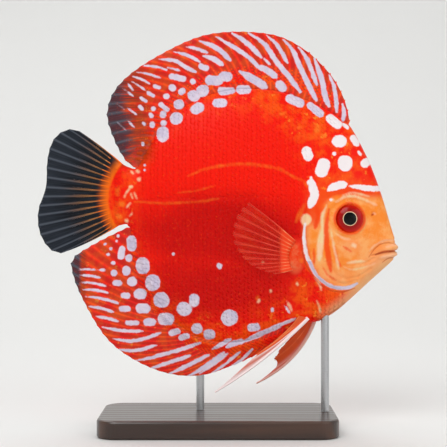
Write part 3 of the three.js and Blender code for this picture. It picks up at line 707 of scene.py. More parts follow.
def skinGrid():
    # stations from the tail stem to the nose, where the rows draw together on a quarter circle
    noseFrom, noseLength = skin["noseFrom"], skin["noseTo"] - skin["noseFrom"]
    trunk = np.linspace(skin["from"], skin["neck"], skin["trunkStations"], endpoint=False)
    head = np.linspace(skin["neck"], noseFrom, skin["headStations"] - skin["noseStations"], endpoint=False)
    turn = np.linspace(0, math.pi / 2, skin["noseStations"] + 1)[:-1]
    x = np.concatenate([trunk, head, noseFrom + noseLength * np.sin(turn)])
    past = np.clip((x - noseFrom) / noseLength, 0, 1)
    cap = np.sqrt(np.clip(1 - past ** 2, 0, 1))
    s = np.linspace(1, -1, skin["across"])
    share = s * (1.32 - 0.32 * s * s)
    xs, shares = np.meshgrid(x, share, indexing="ij")
    caps = np.repeat(cap[:, None], skin["across"], 1)
    inside = np.minimum(xs, body["noseX"])
    middle = widestAt(inside)
    reach = np.where(shares > 0, topAt(inside) - middle, middle - bottomAt(inside))
    z = middle + reach * shares * caps
    y = halfWidth(inside, np.arcsin(shares)) * caps
    y[:, 0] = 0
    y[:, -1] = 0
    return xs, y, z


relief = {
    "nostril": (68.1, 95.9), "finRoot": (33.4, 77.4), "finRootReach": (4.2, 7.4), "laid": -0.1,
    "pores": ((72, 101), (69.4, 107.6), (66, 114), (74.6, 93.4), (62.6, 103.6), (66.4, 87.4), (61, 84.6)),
    "muscleWidth": 3.4, "sideLineZ": 103,
}


def skinRelief(x, z):
    # how far the skin stands over the plain form, in millimetres
    gillFar, gillSide = lineDistance(x, z, gillEdge)
    ahead = gillFar * gillSide
    cover = smooth(62, 48, x) * smooth(112, 98, z) * smooth(58, 66, z)
    eyeFar = np.hypot(x - body["eyeX"], z - body["eyeZ"])
    nostrilFar = oval(x, z, relief["nostril"], (1.2, 1))
    over = z - np.interp(x, *np.transpose(mouthLine))
    slit, lips = smooth(66.6, 68.4, x), smooth(68, 75, x)
    rootFar = oval(x, z, relief["finRoot"], relief["finRootReach"])
    flank = smooth(36, 24, x) * smooth(-42, -30, x)
    lift = relief["laid"] + body["gillLift"] * cover * smooth(-0.1, 0.3, ahead)
    lift -= 3.2 * smooth(6.25, 5.7, eyeFar)
    lift += 1.1 * smooth(1.15, 0.4, rootFar)
    muscle = x + 5.5 * np.abs(np.sin((z - 60) / 11))
    lift += 0.012 * flank * np.sin(muscle * 2 * np.pi / relief["muscleWidth"])
    # ridges and grooves: height, distance from the middle line, half width
    lines = [
        (-0.35 * cover, ahead + 0.45, 0.45), (0.45, eyeFar - 6.7, 0.75), (-0.25, eyeFar - 8.6, 0.8),
        (-0.9, nostrilFar, 0.55), (0.22, nostrilFar - 1.15, 0.35),
        (-0.85 * slit, over, 0.34), (0.85 * lips, over - 1.7, 1.05), (0.8 * lips, over + 1.35, 0.8),
        (-0.4 * lips, over - 3.8, 0.6), (-0.3 * lips, over + 3, 0.5), (-0.3, rootFar - 1.3, 0.14),
        (-0.14 * flank, z - relief["sideLineZ"] - 0.02 * x, 0.8),
    ]
    lines += [(-0.22, np.hypot(x - px, z - pz), 0.36) for px, pz in relief["pores"]]
    for fold in cheekFolds:
        far, _ = lineDistance(x, z, photoLine(fold))
        lines += [(-0.26, far, 0.42), (0.13, far - 1.1, 0.7)]
    for height, far, wide in lines:
        lift += height * np.exp(-(far / wide) ** 2)
    return lift


def makeSkin():
    x, y, z = skinGrid()
    count, across = x.shape
    ring = 2 * across - 2
    right = np.stack([x, -y, z], 2)
    left = np.stack([x, y, z], 2)[:, -2:0:-1]
    grid = np.concatenate([right, left], 1)
    alongX = np.gradient(grid, axis=0)
    around = np.stack([np.roll(grid[..., k], -1, 1) - np.roll(grid[..., k], 1, 1) for k in range(3)], 2)
    normal = np.cross(alongX, around)
    normal /= np.maximum(np.linalg.norm(normal, axis=2, keepdims=True), 1e-9)
    middle = np.stack([grid[..., 0], np.zeros_like(grid[..., 0]), widestAt(grid[..., 0])], 2)
    normal *= np.sign((normal * (grid - middle)).sum(2, keepdims=True) + 1e-9)
    lift = skinRelief(grid[..., 0], grid[..., 2])
    side = np.maximum(smooth(0.2, 1.4, np.abs(grid[..., 1])), smooth(69, 73, grid[..., 0]))
    lift = np.where(lift > 0, lift * (0.35 + 0.65 * side), lift * side)
    grid = grid + normal * lift[..., None]
    points = grid.reshape(-1, 3)
    faces = []
    for i in range(count - 1):
        a = i * ring + np.arange(ring)
        b = i * ring + (np.arange(ring) + 1) % ring
        faces.append(np.stack([a, b, b + ring, a + ring], 1))
    faces = np.concatenate(faces)[:, ::-1].tolist()
    ends = np.array([grid[0].mean(0), [skin["noseTo"], 0, grid[-1, :, 2].mean()]])
    points = np.vstack([points, ends])
    tailPole, nosePole = len(points) - 2, len(points) - 1
    last = (count - 1) * ring
    for j in range(ring):
        k = (j + 1) % ring
        faces.append([tailPole, j, k][::-1])
        faces.append([nosePole, last + k, last + j][::-1])
    piece = plainMesh("skin", points, faces)
    turnOutward(piece)
    shadeSmooth(piece)
    return piece, grid, normal


def turnOutward(piece):
    # a closed form whose volume comes out negative is inside out
    mesh = piece.data
    mesh.calc_loop_triangles()
    points = meshPoints(mesh)
    tris = np.empty(len(mesh.loop_triangles) * 3, np.int32)
    mesh.loop_triangles.foreach_get("vertices", tris)
    a, b, c = (points[tris.reshape(-1, 3)[:, k]] for k in range(3))
    if (np.cross(a, b) * c).sum() < 0:
        mesh.flip_normals()


# The scales: one plate set many times over the skin, in staggered rows, each lying back over the next

coat = {
    "spacing": 2.05, "plateLength": 2.9, "plateWidth": 2.35, "raised": 0.036, "thick": 0.024, "sunk": 0.07,
    "seed": 4, "sizeVariation": 0.07, "tiltVariation": 0.05, "clearOfGill": 0.9, "patch": 0.003,
    "around": 10, "rowStep": 0.88, "frontX": 58,
    "finRows": 5, "finFrom": 2.1, "finStep": 1.45, "finStagger": 0.48, "finSize": 0.72, "finSmaller": 0.08,
}


def makePlate():
    # root at the origin, lying along +X, outward +Z
    around = coat["around"]
    points, local = [], []
    half, width = coat["plateLength"] / 2, coat["plateWidth"] / 2
    middle = half * 0.8

    def top(u, w):
        return coat["raised"] * (u + 1) / 2 - coat["sunk"] * (1 - u) / 2 - 0.02 * w * w

    for reach in (0.55, 1.0):
        for k in range(around):
            turn = 2 * math.pi * k / around
            u, w = reach * math.cos(turn), reach * math.sin(turn)
            blunt = 1 - 0.12 * max(-u, 0)
            points.append((half * u + middle, width * w * blunt, top(u, w)))
            local.append((u, w))
    points += [(x, y, z - coat["thick"]) for x, y, z in points[around:]]
    local += local[around:]
    points += [(middle, 0, top(0, 0)), (middle, 0, top(0, 0) - coat["thick"] * 1.4)]
    local += [(0, 0), (0, 0)]
    faces = []
    for k in range(around):
        m = (k + 1) % around
        faces += [(3 * around, k, m), (k, around + k, around + m), (k, around + m, m),
                  (around + k, 2 * around + k, 2 * around + m), (around + k, 2 * around + m, around + m),
                  (3 * around + 1, 2 * around + m, 2 * around + k)]
    mesh = bpy.data.meshes.new("scalePlate")
    mesh.from_pydata([tuple(c * mm for c in p) for p in points], [], faces)
    mesh.update()
    keepFloat(mesh, "patchU", [p[0] for p in local])
    keepFloat(mesh, "patchV", [p[1] for p in local])
    plate = bpy.data.objects.new("scalePlate", mesh)
    bpy.context.collection.objects.link(plate)
    # smooth on top, flat on the thin rim, so that the rim doesn't darken the scale
    mesh.polygons.foreach_set("use_smooth", [k % 6 in (0, 1, 2) for k in range(len(faces))])
    return plate


def newTree(name, sockets):
    # a Geometry Nodes group with the given inputs beside its geometry
    tree = bpy.data.node_groups.new(name, "GeometryNodeTree")
    for title, kind in {"Geometry": "Geometry", **sockets}.items():
        tree.interface.new_socket(title, in_out="INPUT", socket_type="NodeSocket" + kind)
    tree.interface.new_socket("Geometry", in_out="OUTPUT", socket_type="NodeSocketGeometry")
    n = Nodes(tree)
    return tree, n, n.add("NodeGroupInput").outputs


def closeTree(n, geometry, material):
    real = n.add("GeometryNodeRealizeInstances", {"Geometry": geometry})
    dressed = n.add("GeometryNodeSetMaterial", {"Geometry": real.outputs[0], "Material": material})
    n.add("NodeGroupOutput", {"Geometry": dressed.outputs[0]})


def scaleTree():
    tree, n, given = newTree("scaleCoat", {
        "Plate": "Object", "Material": "Material", "Seed": "Int", "Size Variation": "Float",
        "Tilt Variation": "Float"})

    def named(name, kind):
        return n.add("GeometryNodeInputNamedAttribute", {"Name": name}, data_type=kind).outputs["Attribute"]

    def drawn(offset):
        inputs = {2: -1.0, 3: 1.0, "Seed": n.plus(given["Seed"], offset)}
        return n.add("FunctionNodeRandomValue", inputs, data_type="FLOAT").outputs[1]

    turn = "FunctionNodeAlignRotationToVector"
    upright = n.add(turn, {"Vector": named("outward", "FLOAT_VECTOR")}, axis="Z")
    rearward = {"Rotation": upright.outputs[0], "Vector": named("rearward", "FLOAT_VECTOR")}
    lying = n.add(turn, rearward, axis="X", pivot_axis="Z")
    tilt = n.add("ShaderNodeCombineXYZ", {"Z": n.times(drawn(7), given["Tilt Variation"])})
    turned = n.add("FunctionNodeRotateRotation", {0: lying.outputs[0], 1: tilt.outputs[0]},
                   rotation_space="LOCAL")
    varied = n.plus(n.times(drawn(0), given["Size Variation"]), 1.0)
    plate = n.add("GeometryNodeObjectInfo", {"As Instance": True, "Object": given["Plate"]})
    spread = n.add("GeometryNodeInstanceOnPoints", {
        "Points": given["Geometry"], "Instance": plate.outputs["Geometry"],
        "Rotation": turned.outputs[0], "Scale": n.times(named("size", "FLOAT"), varied)})
    closeTree(n, spread.outputs["Instances"], given["Material"])
    return tree


def skinSeeds(grid, normals, side):
    # rows of places over one side of the skin: where, outward, rearward, size, and the place on the unwrap
    half = skin["across"]
    if side < 0:
        columns = np.arange(half)
    else:
        columns = np.concatenate([[0], np.arange(2 * half - 3, half - 2, -1)])
    sheet, outs = grid[:, columns], normals[:, columns]
    stations = sheet[:, 0, 0]
    seeds = []
    row = 0
    x = stations[3]
    while x < coat["frontX"]:
        i = int(np.searchsorted(stations, x))
        line, out = sheet[i], outs[i]
        run = np.concatenate([[0], np.cumsum(np.linalg.norm(np.diff(line, axis=0), axis=1))])
        places = np.arange((0.5 if row % 2 else 0.0) * coat["spacing"], run[-1], coat["spacing"])
        for want in places:
            j = int(np.searchsorted(run, want))
            j = min(max(j, 1), half - 2)
            seeds.append((line[j], out[j], i, j))
        row += 1
        x += coat["spacing"] * coat["rowStep"]
    at = np.array([seed[0] for seed in seeds])
    out = np.array([seed[1] for seed in seeds])
    px, pz = at[:, 0], at[:, 2]
    gillFar, gillSide = lineDistance(px, pz, gillEdge)
    rootFar = oval(px, pz, (33, 77.4), (5.6, 8.4))
    rim = rimHalf(px, pz > 95)
    keep = (gillFar * gillSide < -coat["clearOfGill"]) & (rootFar > 1) & (np.abs(at[:, 1]) > rim * 0.9)
    keep &= px > caudalStart - 3
    i = np.array([seed[2] for seed in seeds]) / (len(stations) - 1)
    j = np.array([seed[3] for seed in seeds]) / (half - 1)
    v = 0.5 + side * (0.05 + 0.4 * j)
    size = 0.8 + 0.25 * smooth(-40, -20, px) * smooth(2.5, 12, gillFar)
    rear = np.tile([-1.0, 0.0, 0.0], (len(at), 1))
    return at[keep], out[keep], rear[keep], size[keep], 0.02 + 0.9 * i[keep], v[keep]


def finSeeds(name, side):
    # a few rows on the scaly root of a long fin, smaller outwards
    fin = fins[name]
    rays = longFinRays(fin)
    found = []
    for i in range(len(rays) * 2 - 1):
        a, b = rays[i // 2], rays[min((i + 1) // 2, len(rays) - 1)]
        for row in range(coat["finRows"]):
            away = coat["finFrom"] + coat["finStep"] * (row + (coat["finStagger"] if i % 2 else 0))
            va, vb = away / max(a["length"], 4), away / max(b["length"], 4)
            if max(va, vb) > 0.5:
                continue
            place = (a["at"](va) + b["at"](vb)) / 2
            ahead = (a["at"](va + 0.02) + b["at"](vb + 0.02)) / 2 - place
            root = (a["root"] + b["root"]) / 2
            half = 0.16 + (root - 0.16) * math.exp(-(max(away - 1.5, 0) / 5.0) ** 1.4)
            place[1] += side * half
            share = i / (2 * len(rays) - 2)
            ahead = ahead / np.linalg.norm(ahead) + np.array([-1.1, 0, 0])
            v = 0.5 + side * (0.046 - 0.0045 * row if fin["side"] > 0 else 0.454 + 0.0045 * row)
            size = coat["finSize"] - coat["finSmaller"] * row
            found.append((place, (0, side, 0), ahead, size, 0.97 - 0.75 * share, v))
    return [np.array(part, float) for part in zip(*found)]


def makeScales(grid, normals, material):
    plate, tree = makePlate(), scaleTree()
    for word, side in (("Right", -1), ("Left", 1)):
        parts = [skinSeeds(grid, normals, side), finSeeds("dorsal", side), finSeeds("anal", side)]
        at, out, rear, size, u, v = (np.concatenate([part[k] for part in parts]) for k in range(6))
        piece = plainMesh("scales" + word, at, [])
        mesh = piece.data
        for name, values in (("outward", out), ("rearward", rear)):
            layer = mesh.attributes.new(name, "FLOAT_VECTOR", "POINT")
            layer.data.foreach_set("vector", np.asarray(values, np.float32).ravel())
        keepFloat(mesh, "size", size)
        keepFloat(mesh, "seedU", u)
        keepFloat(mesh, "seedV", v)
        solidified(piece, tree, {
            "Plate": plate, "Material": material, "Seed": coat["seed"],
            "Size Variation": coat["sizeVariation"], "Tilt Variation": coat["tiltVariation"]})
        mesh = piece.data
        where = np.empty(len(mesh.loops), np.int32)
        mesh.loops.foreach_get("vertex_index", where)
        flat = np.stack([readFloat(mesh, "seedU") + readFloat(mesh, "patchU") * coat["patch"] / 2,
                         readFloat(mesh, "seedV") + readFloat(mesh, "patchV") * coat["patch"] / 2], 1)[where]
        layer = mesh.uv_layers.get("OFBake") or mesh.uv_layers.new(name="OFBake")
        layer.data.foreach_set("uv", flat.astype(np.float32).ravel())
        for name in ("outward", "rearward", "size", "seedU", "seedV", "patchU", "patchV"):
            if name in mesh.attributes:
                mesh.attributes.remove(mesh.attributes[name])
        paint(piece)
        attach(piece, "root")
        print("scales", word, len(at), "faces", len(mesh.polygons))
    bpy.data.objects.remove(plate)


# Fins: a thin web between rays, with the rays as tubes along it

fins = {
    "dorsal": {
        "margin": [(58.4, 136.6), (56.2, 146), (49.6, 158), (35.4, 171), (19.6, 176.4), (-5.8, 175.6),
                   (-28.9, 165), (-44.4, 153), (-49.6, 141), (-46.8, 129.6), (-41.6, 119.9), (-37.2, 116.4)],
        "from": 58, "to": -36, "spines": 9, "rays": 30, "lean": 0.16, "side": 1,
    },
    "anal": {
        "margin": [(33.6, 45.2), (25.3, 38.2), (9.8, 30.2), (-8.4, 24), (-28, 26.6), (-48.2, 38.8),
                   (-61.2, 60), (-65.6, 74), (-62.8, 78), (-52, 84.4), (-40.2, 90)],
        "from": 33, "to": -39, "spines": 8, "rays": 30, "lean": 0.14, "side": -1,
    },
    "tail": {
        "margin": [(-62, 132.8), (-67.4, 133.6), (-72.4, 130.4), (-75, 125.4), (-76.2, 118), (-76.2, 109.4),
                   (-77.6, 103.6), (-79.6, 98.4), (-80, 92), (-78.8, 86.2), (-76, 81.4), (-71.6, 78.2),
                   (-66, 79.8)],
        "rays": 18,
    },
    "pectoral": {
        "roots": [(30.6, 84), (28.6, 81), (27.6, 77.4), (28, 74), (29.4, 71.4)],
        "margin": [(13.2, 100.6), (9.2, 97), (6.8, 91.4), (6.4, 85.4), (8.6, 80), (13, 74.6), (19.4, 71.2),
                   (24.6, 69.6)],
        "rays": 12, "standOff": 8,
    },
    "pelvic": {
        "right": {"root": (38.9, -3, 49.2), "bend": (1.2, 0, -3.6),
                  "tips": [(-1.6, -11, 18), (15, -8.8, 32.4), (17.2, -7.8, 34.6), (21, -6.6, 37),
                           (25, -5.6, 39.8), (29.6, -4.8, 42.8)]},
        "left": {"root": (43.2, 2.8, 50.2), "bend": (7.4, 0, -5.4),
                 "tips": [(17.2, 12.5, 18.9), (26.2, 10.6, 26.4), (25.2, 9.6, 30.4), (27.4, 8.6, 34.4),
                          (31, 7.4, 38.4), (35.2, 6.2, 42.6)]},
    },
}


def bent(root, tip, bend, sway=None, out=(0, 1, 0)):
    root, tip, bend, out = (np.array(v, float) for v in (root, tip, bend, out))
    control = (root + tip) / 2 + bend

    def at(v):
        v = np.asarray(v, float)[..., None]
        place = (1 - v) ** 2 * root + 2 * v * (1 - v) * control + v * v * tip
        return place + (out * sway(v) if sway else 0)

    return {"at": at, "length": float(np.linalg.norm(tip - root)), "out": out / np.linalg.norm(out)}


def longFinRays(fin):
    edgeAt = topAt if fin["side"] > 0 else bottomAt
    count = fin["spines"] + fin["rays"]
    rim = curvePoints(fin["margin"], 600)
    made = []
    for i in range(count):
        share = i / (count - 1)
        x = fin["from"] + (fin["to"] - fin["from"]) * share
        tip = rim[int(round((0.004 + 0.992 * share) * 599))]
        slope = (edgeAt(x + 0.2) - edgeAt(x - 0.2)) / 0.4
        sunk = np.array([-slope, 1]) / math.hypot(slope, 1) * -1.2 * fin["side"]
        root = np.array([x + sunk[0], 0, edgeAt(x) + sunk[1]])
        length = math.hypot(tip[0] - root[0], tip[1] - root[2])
        spine = i < fin["spines"]
        past = 0.7 / max(length, 3) if spine else 0.0
        wave = smooth(0.25, 0.6, share) * min(length / 15, 1) * 0.9 * math.sin(share * 15)
        ray = bent(root, (tip[0] + (tip[0] - root[0]) * past, 0, tip[1] + (tip[1] - root[2]) * past),
                   (fin["lean"] * length, 0, fin["lean"] * length * fin["side"]),
                   lambda v, wave=wave: wave * v * v)
        ray.update(thick=0.46 if spine else 0.34, root=rimHalf(x, np.array(fin["side"] > 0)) * 0.98,
                   branched=not spine, past=past)
        made.append(ray)
    return made


def tailRays(fin):
    rim = curvePoints(fin["margin"], 400)
    made = []
    for i in range(fin["rays"]):
        share = i / (fin["rays"] - 1)
        z = 118.2 + (91.4 - 118.2) * share
        tip = rim[int(round(share * 399))]
        spread = 1 - 2 * share
        up = spread > 0
        bow = (0.5 * abs(spread), 0, (0.9 if up else 1.6) * spread)
        ray = bent((-41.6, 0, z * 0.9 + 10.5), (tip[0], 0, tip[1]), bow,
                   lambda v, share=share: 1.6 * v * v * math.sin(share * 7 + 0.6))
        ray.update(thick=0.4, root=1.1, branched=True, past=0)
        made.append(ray)
    return made


def pectoralRays(fin, side):
    roots = curvePoints(fin["roots"], fin["rays"])
    rim = curvePoints(fin["margin"], fin["rays"])
    flank = float(flankAt(33.6, 77.6))
    made = []
    for i in range(fin["rays"]):
        share = i / (fin["rays"] - 1)
        (rx, rz), (tx, tz) = roots[i], rim[i]
        length = math.hypot(tx - rx, tz - rz)
        ray = bent((rx + 3, side * (flank + 0.6), rz),
                   (tx, side * (flank + 1.2 + fin["standOff"] * length / 26), tz),
                   (0, side * 0.8, 0.04 * length * (1 - 2 * share)),
                   lambda v, share=share: 0.35 * v * v * math.sin(share * 9), (0.3, side * 0.95, 0))
        ray.update(thick=0.26, root=0.75, branched=True, past=0)
        made.append(ray)
    return made


def pelvicRays(fin, side):
    made = []
    for i, tip in enumerate(fin["tips"]):
        spread, ease = 0.75 * i, 1 - i / len(fin["tips"])
        x, y, z = fin["root"]
        root = (x - spread + 0.8, y + side * 0.1 * i, z + 0.25 * spread + 0.6)
        ray = bent(root, tip, [b * ease * ease for b in fin["bend"]], None, (0.12, 0.95, 0.3))
        ray.update(thick=0.95 if i == 0 else 0.34, root=0.75, branched=i > 1, past=0)
        made.append(ray)
    return made


def rayTree():
    # turns the loose edges of a fin's mesh into tapered round rays, and keeps its web
    tree, n, given = newTree("finRays", {"Ray Sides": "Int", "Material": "Material"})
    girth = n.add("GeometryNodeInputNamedAttribute", {"Name": "girth"}, data_type="FLOAT").outputs[0]
    isRay = n.add("FunctionNodeCompare", {0: girth, 1: 0.00001}, data_type="FLOAT",
                  operation="GREATER_THAN")
    parts = {"Geometry": given["Geometry"], "Selection": isRay.outputs["Result"]}
    parted = n.add("GeometryNodeSeparateGeometry", parts).outputs
    line = n.add("GeometryNodeMeshToCurve", {"Mesh": parted["Selection"]})
    ring = n.add("GeometryNodeCurvePrimitiveCircle", {"Radius": 1.0, "Resolution": given["Ray Sides"]})
    tube = n.add("GeometryNodeCurveToMesh", {
        "Curve": line.outputs["Curve"], "Profile Curve": ring.outputs["Curve"], "Scale": girth,
        "Fill Caps": True})
    share = {"Geometry": tube.outputs["Mesh"], "Name": "rayShare", "Value": 1.0}
    marked = n.add("GeometryNodeStoreNamedAttribute", share, data_type="FLOAT")
    joined = n.add("GeometryNodeJoinGeometry", {"Geometry": marked.outputs["Geometry"]})
    tree.links.new(parted["Inverted"], joined.inputs["Geometry"])
    closeTree(n, joined.outputs["Geometry"], given["Material"])
    return tree


rayNodes = rayTree()


def solidified(piece, tree, inputs):
    # run a node tree on the piece, and keep the outcome as a plain mesh
    modifier = piece.modifiers.new("build", "NODES")
    modifier.node_group = tree
    for item in tree.interface.items_tree:
        if item.item_type == "SOCKET" and item.in_out == "INPUT" and item.name in inputs:
            modifier[item.identifier] = inputs[item.name]
    graph = bpy.context.evaluated_depsgraph_get()
    made = bpy.data.meshes.new_from_object(
        piece.evaluated_get(graph), preserve_all_data_layers=True, depsgraph=graph)
    piece.modifiers.clear()
    old = piece.data
    piece.data = made
    bpy.data.meshes.remove(old)
    made.name = piece.name
    return piece


rayShape = {
    "ridgeWidth": 0.22, "ridgeRise": 0.09, "webEdge": 0.55, "taper": 0.62, "end": 0.995,
    "forkReach": 0.22, "forkThinner": 0.8, "points": 26,
}


def finPiece(name, rays, material, perCell=8, steps=44, web=0.16, rootFade=4.0, notch=0.3, forks=(0.5,),
             sunk=0.0):
    # the web as a closed sheet: columns run from root to margin between each two rays
    cells = len(rays) - 1
    v = np.linspace(0, 1, steps) ** 0.9
    columns, thick, nearRay, across = [], [], [], []
    for i in range(cells):
        a, b = rays[i], rays[i + 1]
        for k in range(perCell + (1 if i == cells - 1 else 0)):
            t = k / perCell
            pull = 1 - notch * 4 * t * (1 - t) * v * v / max(a["length"], b["length"], 4)
            pa = a["at"](v * pull * (1 - a["past"]))
            pb = b["at"](v * pull * (1 - b["past"]))
            columns.append(pa * (1 - t) + pb * t)
            length = a["length"] * (1 - t) + b["length"] * t
            root = a["root"] * (1 - t) + b["root"] * t
            ridge = np.exp(-(min(t, 1 - t) / rayShape["ridgeWidth"]) ** 2)
            away = np.maximum(v * length - sunk, 0)
            half = web + rayShape["ridgeRise"] * ridge * (1 - 0.7 * v)
            half = half + (root - web) * np.exp(-(away / rootFade) ** 1.4)
            thick.append(np.where(v > 0.97, half * rayShape["webEdge"], half))
            nearRay.append(np.full(steps, 0.5 * ridge))
            across.append(np.full(steps, i + t))
    columns, out = np.array(columns), rays[0]["out"]
    thick = np.array(thick)
    front, rear = columns + out * thick[..., None], columns - out * thick[..., None]
    wide = len(columns)
    points = np.vstack([front.reshape(-1, 3), rear.reshape(-1, 3)])
    offset = wide * steps
    ids = np.arange(offset).reshape(wide, steps)
    a, b, c, d = ids[:-1, :-1].ravel(), ids[1:, :-1].ravel(), ids[1:, 1:].ravel(), ids[:-1, 1:].ravel()
    faces = np.vstack([np.stack([a, b, c, d], 1), np.stack([d, c, b, a], 1) + offset]).tolist()
    loop = np.concatenate([ids[:, 0], ids[-1, 1:], ids[::-1, -1][1:], ids[0, ::-1][1:-1]])
    for p, q in zip(loop, np.roll(loop, -1)):
        faces.append([q, p, p + offset, q + offset])
    girth = [0.0] * len(points)
    fanAcross, fanAlong = list(np.array(across).ravel()) * 2, list(np.tile(v, wide)) * 2
    share = list(np.array(nearRay).ravel()) * 2
    rayAt, edges = [], []

    def addLine(places, radii, over, run):
        first = len(points) + len(rayAt)
        rayAt.extend(places)
        girth.extend(np.asarray(radii) * mm)
        share.extend([1.0] * len(places))
        fanAcross.extend(over)
        fanAlong.extend(run)
        edges.extend((first + j, first + j + 1) for j in range(len(places) - 1))

    def addRay(i, start, leanFrom, leanTo, rest, radius):
        # one stretch of a ray from start to its next fork, leaning towards a neighbour, and then its branches
        end = rest[0] if rest else rayShape["end"]
        run = np.linspace(start, end, max(4, int(rayShape["points"] * (end - start))))
        lean = (leanFrom + (leanTo - leanFrom) * (run - start) / (end - start))[:, None]
        j = min(max(i + (1 if leanTo > 0 else -1), 0), len(rays) - 1)
        places = rays[i]["at"](run) * (1 - np.abs(lean)) + rays[j]["at"](run) * np.abs(lean)
        addLine(places, radius * (1 - rayShape["taper"] * run), i + lean[:, 0], run)
        if rest:
            reach = rayShape["forkReach"] / 2 ** (len(forks) - len(rest))
            for turn in (-reach, reach):
                addRay(i, end, leanTo, leanTo + turn, rest[1:], radius * rayShape["forkThinner"])

    for i, ray in enumerate(rays):
        addRay(i, 0.0, 0.0, 0.0, list(forks) if ray["branched"] else [], ray["thick"])
    piece = plainMesh(name, np.vstack([points, np.array(rayAt)]), faces, edges)
    keepFloat(piece.data, "girth", girth)
    keepFloat(piece.data, "rayShare", share)
    keepFloat(piece.data, "fanAcross", fanAcross)
    keepFloat(piece.data, "fanAlong", fanAlong)
    turnOutward(piece)
    solidified(piece, rayNodes, {"Ray Sides": 7, "Material": material})
    shadeSmooth(piece)
    return piece


# Build

print("skin")
skinPiece, grid, normals = makeSkin()
skinPiece.data.materials.append(fleshMaterial("wetSkin", 0.38, 0.04, 1500))
paint(skinPiece)
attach(skinPiece, "root")
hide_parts("head", "trunk", "tail_stem")

print("scales")
makeScales(grid, normals, fleshMaterial("wetScales", 0.36, 0.04, 2600))

print("fins")
longWeb = finMaterial("spottedWeb")
for name, node in (("dorsal", "dorsal_fin"), ("anal", "anal_fin")):
    piece = finPiece(name + "Fin", longFinRays(fins[name]), longWeb, rootFade=5.0, sunk=1.5)
    paint(piece, tailward=False)
    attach(piece, "root")
    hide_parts(node)
tail = finPiece("tailFin", tailRays(fins["tail"]), tailMaterial(), perCell=8, steps=44, notch=0.12,
                 forks=(0.3, 0.66))
paint(tail)
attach(tail, "root")
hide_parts("tail_fin")
pectoralWeb = pairedFinMaterial("pectoralWeb", colours["pectoralWeb"], colours["pectoralRay"], 0.2)
pelvicWeb = pairedFinMaterial("pelvicWeb", colours["pelvicWeb"], colours["pelvicRay"], 0.95)
for word, side in (("Right", -1), ("Left", 1)):
    piece = finPiece("pectoralFin" + word, pectoralRays(fins["pectoral"], side), pectoralWeb,
                     perCell=5, steps=26, web=0.1, rootFade=2.4, notch=0.9)
    spread = meshPoints(piece.data)[:, 0]
    keepFloat(piece.data, "fleshy", smooth(25, 29.5, spread))
    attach(piece, "root")
    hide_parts("pectoral_fin_" + word.lower())
    piece = finPiece("pelvicFin" + word, pelvicRays(fins["pelvic"][word.lower()], side), pelvicWeb,
                     perCell=6, steps=40, web=0.12, rootFade=5, notch=1.2)
    fanAcross = readFloat(piece.data, "fanAcross")
    pale = np.exp(-(fanAcross / 0.55) ** 4) + 0.75 * np.exp(-((fanAcross - 1) / 0.2) ** 2)
    keepFloat(piece.data, "paleRay", np.clip(pale, 0, 1) * (1 if word == "Right" else 0.5))
    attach(piece, "root")
    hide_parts("pelvic_fin_" + word.lower())

print("eyes")
iris = eyeMaterial()


def makeEye(word, side):
    rings, turns = 72, 96
    points, reach = [], []
    for i in range(1, rings):
        polar = math.pi * i / rings
        for j in range(turns):
            around = 2 * math.pi * j / turns
            r = math.sin(polar)
            points.append((body["eyeX"] + body["eyeRadius"] * r * math.cos(around),
                           side * (body["eyeY"] + body["eyeDepth"] * math.cos(polar)),
                           body["eyeZ"] + body["eyeRadius"] * r * math.sin(around)))
            reach.append(body["eyeRadius"] * r if polar < math.pi / 2 else 7.0)
    faces = []
    for i in range(rings - 2):
        for j in range(turns):
            k = (j + 1) % turns
            faces.append((i * turns + j, i * turns + k, (i + 1) * turns + k, (i + 1) * turns + j))
    outer, inner = len(points), len(points) + 1
    points += [(body["eyeX"], side * (body["eyeY"] + body["eyeDepth"]), body["eyeZ"]),
               (body["eyeX"], side * (body["eyeY"] - body["eyeDepth"]), body["eyeZ"])]
    reach += [0.0, 7.0]
    last = (rings - 2) * turns
    for j in range(turns):
        k = (j + 1) % turns
        faces += [(outer, k, j), (inner, last + j, last + k)]
    piece = plainMesh("eye" + word, points, faces)
    keepFloat(piece.data, "irisReach", reach)
    turnOutward(piece)
    shadeSmooth(piece)
    piece.data.materials.append(iris)
    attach(piece, "root")
    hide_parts("eye_" + word.lower())


makeEye("Right", -1)
makeEye("Left", 1)

print("stand")
for node, material in (("stand_base", woodMaterial()), ("stand_rod_front", steelMaterial()),
                       ("stand_rod_rear", bpy.data.materials["brushedSteel"])):
    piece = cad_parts[node]
    piece.data.materials.clear()
    piece.data.materials.append(material)

print("stage, lights and camera")
stage = {
    "flat": 0.95, "bend": 0.7, "height": 2.4, "middleY": -0.5, "turns": 96, "colour": (0.8, 0.8, 0.79, 1),
}


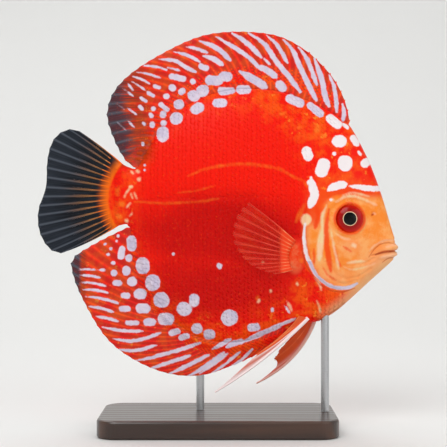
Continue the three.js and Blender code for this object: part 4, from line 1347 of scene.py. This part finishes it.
def makeSweep():
    # a pale round floor that curves up into a wall all the way round
    line = [(0.2, 0.0), (0.8, 0.0), (stage["flat"], 0.0)]
    for i in range(1, 13):
        turn = math.pi / 2 * i / 12
        line.append((stage["flat"] + stage["bend"] * math.sin(turn), stage["bend"] * (1 - math.cos(turn))))
    line.append((stage["flat"] + stage["bend"], stage["height"]))
    turns = stage["turns"]
    points = [(0, stage["middleY"], 0)]
    for r, z in line:
        for k in range(turns):
            around = 2 * math.pi * k / turns
            points.append((r * math.cos(around), stage["middleY"] + r * math.sin(around), z))
    faces = [(0, 1 + k, 1 + (k + 1) % turns) for k in range(turns)]
    for i in range(len(line) - 1):
        for k in range(turns):
            m = (k + 1) % turns
            a, b = 1 + i * turns, 1 + (i + 1) * turns
            faces.append((a + k, b + k, b + m, a + m))
    mesh = bpy.data.meshes.new("studioSweep")
    mesh.from_pydata(points, [], faces)
    sweep = bpy.data.objects.new("studioSweep", mesh)
    bpy.context.collection.objects.link(sweep)
    shadeSmooth(sweep)
    material, n = newMaterial("paleSweep")
    n.dress({"Base Color": stage["colour"], "Roughness": 0.85})
    mesh.materials.append(material)


makeSweep()

lights = {
    "key": {"at": (-0.5, -1.1, 1.15), "size": 0.9, "watts": 11.2},
    "fill": {"at": (0.9, -1.0, 0.5), "size": 1.1, "watts": 4.4},
    "top": {"at": (0.1, 0.1, 1.2), "size": 0.8, "watts": 4.4},
    "rear": {"at": (-0.2, 0.6, 0.9), "size": 0.7, "watts": 2.6},
}
for name, light in lights.items():
    lamp = bpy.data.lights.new(name, "AREA")
    lamp.energy = light["watts"]
    lamp.size = light["size"]
    holder = bpy.data.objects.new(name, lamp)
    holder.location = light["at"]
    holder.rotation_euler = (Vector((0, 0, 0.09)) - Vector(light["at"])).to_track_quat("-Z", "Y").to_euler()
    bpy.context.collection.objects.link(holder)
world = bpy.data.worlds.new("studio")
world.use_nodes = True
world.node_tree.nodes["Background"].inputs["Color"].default_value = (1, 1, 1, 1)
world.node_tree.nodes["Background"].inputs["Strength"].default_value = 0.14
bpy.context.scene.world = world
bpy.context.scene.view_settings.view_transform = "Standard"

view = {"lens": 100.0, "sensor": 36.0, "away": 0.552, "x": 2.4, "z": 91.6}
camera = bpy.data.cameras.new("camera")
camera.lens = view["lens"]
camera.sensor_width = view["sensor"]
holder = bpy.data.objects.new("camera", camera)
holder.location = ((view["x"] + shiftX) * mm, -view["away"], view["z"] * mm)
holder.rotation_euler = (math.pi / 2, 0, 0)
bpy.context.collection.objects.link(holder)
bpy.context.scene.camera = holder
